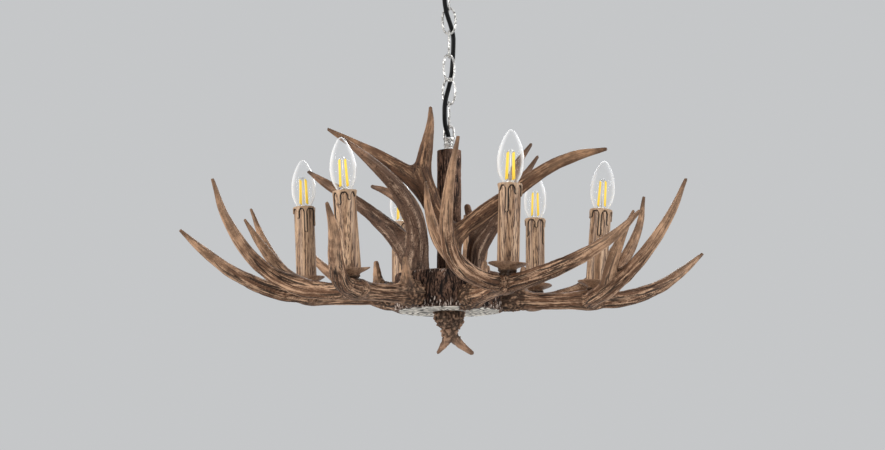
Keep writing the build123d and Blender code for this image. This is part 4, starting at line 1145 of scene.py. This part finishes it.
glass = clear_glass("clear_glass")
flame_curve = smooth_line([(wide * bulb_radius, high * bulb_length, 0, 0) for high, wide in flame_shares], 1.6)
flame = [(max(radius, 0), height + sleeve_top) for radius, height, _, _ in flame_curve[:-1]]
glass_outline = [(0, sleeve_top), *flame, (0, sleeve_top + bulb_length)]


def phosphor():
    stick = Finish("yellow_phosphor_painted_glow", Roughness=0.45)
    grain = stick.noise(stick.place(), 0.8)
    colour = stick.mix(grain.clip(0.3, 0.7), (0.86, 0.54, 0.02), (0.95, 0.68, 0.05))
    # painted glow: the filaments shine faintly of themselves, though the lamps are off
    stick.shader.inputs["Emission Strength"].default_value = 0.25
    return stick.end(Base_Color=colour, Emission_Color=colour)


yellow = phosphor()
nickel = Finish("nickel_wire", Metallic=1.0, Roughness=0.3)
nickel_grey = nickel.mix(nickel.noise(nickel.place(), 1.0), (0.5, 0.5, 0.5), (0.75, 0.75, 0.74))
nickel_wire = nickel.end(Base_Color=nickel_grey)
foot_glass = clear_glass("foot_glass")
# the filaments' ends: their heights above the sleeve's rim and the circles that they stand on
filament_low, filament_high, filament_low_circle, filament_high_circle = 5.2, 40.0, 6.6, 5.2
filament_radius, tie_radius = 1.05, 0.55


def stick_between(start, end, radius, sides):
    """A straight rod between two points, with rounded ends."""
    start, end = np.array(start, float), np.array(end, float)
    run = (end - start) / np.linalg.norm(end - start)
    knots = [start, start + run * radius * 0.6, end - run * radius * 0.6, end]
    line = np.column_stack([knots, [radius * 0.6, radius, radius, radius * 0.6]])
    return tube_mesh(line, sides)


yellow_stick, bare_wire, blown_foot = 0, 1, 2  # the materials' places on the piece
inside_vertices, inside_faces, inside_kinds = [], [], []


def gather(part, kind):
    """Adds one part, its vertices and faces, to what stands inside a lamp."""
    vertices, faces = part
    inside_faces.extend(tuple(k + len(inside_vertices) for k in face) for face in faces)
    inside_kinds.extend([kind] * len(faces))
    inside_vertices.extend(tuple(v) for v in vertices)


for k in range(4):
    angle = math.radians(45 + 90 * k)
    spoke = np.array((math.cos(angle), math.sin(angle), 0))
    low = spoke * filament_low_circle + (0, 0, filament_low)
    high = spoke * filament_high_circle + (0, 0, filament_high)
    below, above = low - (high - low) * 0.06, high + (high - low) * 0.05
    gather(stick_between(low, high, filament_radius, 10), yellow_stick)
    for start, end, radius, sides in ((below, low, tie_radius, 8), (high, above, tie_radius, 8),
                                      (spoke * 1.6 + (0, 0, 2.6), below, 0.4, 6),
                                      (above, (0, 0, filament_high + 3.2), 0.35, 6)):
        gather(stick_between(start, end, radius, sides), bare_wire)
gather(stick_between((0, 0, 3.5), (0, 0, filament_high + 2.4), 0.5, 8), bare_wire)
foot_outline = [(0, 0.9), (6.8, 0.9), (6.2, 1.8), (3.6, 3.0), (2.0, 4.6), (1.4, 12.0), (0.9, 22.0), (0, 23)]
gather(lathe(foot_outline, 28), blown_foot)
# how far each lamp happened to be screwed in: the heading of its first pair of filaments
lamp_turns = (9, -12, 4, 16, -6, 11)
for i, (arm, turn) in enumerate(zip(arms, lamp_turns)):
    origin, _, _, axis = candle_frame(arm)
    heading = (math.cos(math.radians(turn)), math.sin(math.radians(turn)), 0)
    level = np.cross(axis, np.cross(heading, axis))
    level /= np.linalg.norm(level)
    spot = (origin, level, np.cross(axis, level), axis)
    bulb = seated(f"lamp_{i + 1}", *lathe(glass_outline, 64), spot, glass, flat_angle=80)
    stand_in(bulb, "fixture", f"bulb_{i + 1}")
    raised = [(x, y, z + sleeve_top) for x, y, z in inside_vertices]
    inside = seated(f"filaments_{i + 1}", raised, inside_faces, spot, yellow)
    for material in (nickel_wire, foot_glass):
        inside.data.materials.append(material)
    inside.data.polygons.foreach_set("material_index", inside_kinds)
    stand_in(inside, "fixture", "bulb_filaments")

# ---- Supply cable ----------------------------------------------------------------------------------
# One black round cable from the terminal block through the ring, in and out of the links and down the stem.
# It is cut in its drawing, not in fact, into one stretch round each joint.
# the route's points, in millimetres
cable_route = ((0, 0, -18), (0, 0, -55), (-4.5, -6, -69), (-6.6, -7.2, -84), (-6.4, -6.4, -114), (6.4, 6.4, -148),
               (6.3, 6.6, -168), (5.2, 10.4, -189), (3.6, 11, -212), (-6.2, -4.6, -252), (-6.4, -7.2, -271),
               (-5.9, -7.4, -286), (-0.9, -2.3, -299), (0, 0, -312), (0, 0, -528.7))
cable_radius, cable_step, cable_sides, bend_half = 3.2 * mm, 1.6 * mm, 18, 15 * mm


def route_line(name, points):
    """Points along the smooth NURBS line of a cord's route."""
    source, spline = curve_object(name, "NURBS", points)
    spline.order_u = 3
    spline.use_endpoint_u = True
    source.data.resolution_u = 24
    return points_of(made_real(source))


def jacket():
    """Smooth black plastic with a faint sheen and the slight flutes of the cores under it."""
    skin = Finish("cable_jacket", Roughness=0.55, Specular_IOR_Level=0.15)
    twist = skin.noise(skin.mask("grain", out=1), 3.0, 2.0)
    scuff = skin.noise(skin.place(), 1.2, 3.0)
    colour = skin.mix(scuff.clip(0.4, 0.7), (0.0018, 0.0018, 0.00225), (0.0054, 0.0054, 0.0054))
    return skin.end(Base_Color=colour, Roughness=scuff * 0.2 + 0.42, Normal=skin.bump(twist, 0.25))


cable_line = route_line("cable_route", [[c * mm for c in point] for point in cable_route])
cable_black = jacket()
# heights of the seven joints; a stretch of cable runs from halfway above its joint to halfway below it
pivots = [height * mm for height in (-82.5, -116.2, -150.8, -185.4, -220.0, -254.6, -289.2)]
ceiling, far_below = 0.0, -1.0
borders = [ceiling] + [(a + b) / 2 for a, b in zip(pivots, pivots[1:])] + [far_below]
distance = np.concatenate([[0], np.cumsum(np.linalg.norm(np.diff(cable_line, axis=0), axis=1))])
steps = np.arange(0, distance[-1], cable_step)
even_line = np.column_stack([np.interp(steps, distance, cable_line[:, axis]) for axis in range(3)])
spin = np.linspace(0, 2 * math.pi, cable_sides, endpoint=False)
core_pitch, core_circle, core_slip = 14, 3, 0.05  # the cores' twist under the jacket, in millimetres
for i, pivot in enumerate(pivots):
    first = max(np.searchsorted(-even_line[:, 2], -borders[i]) - 1, 0)
    last = min(np.searchsorted(-even_line[:, 2], -borders[i + 1]) + 1, len(even_line))
    line = even_line[first:last]
    tube, faces = tube_mesh(np.column_stack([line, np.full(len(line), cable_radius)]), cable_sides)
    stretch = new_piece(f"cable_{i + 1}", tube, faces, cable_black)
    run = np.repeat(steps[first:last] / mm, cable_sides)
    twisted = np.tile(spin, len(line)) + run / core_pitch
    grain = np.zeros((len(tube), 3))
    grain[:len(run)] = np.column_stack([core_circle * np.cos(twisted), core_circle * np.sin(twisted),
                                        run * core_slip])
    store(stretch.data, "grain", grain)
    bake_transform(stretch)
    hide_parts("supply_cable")
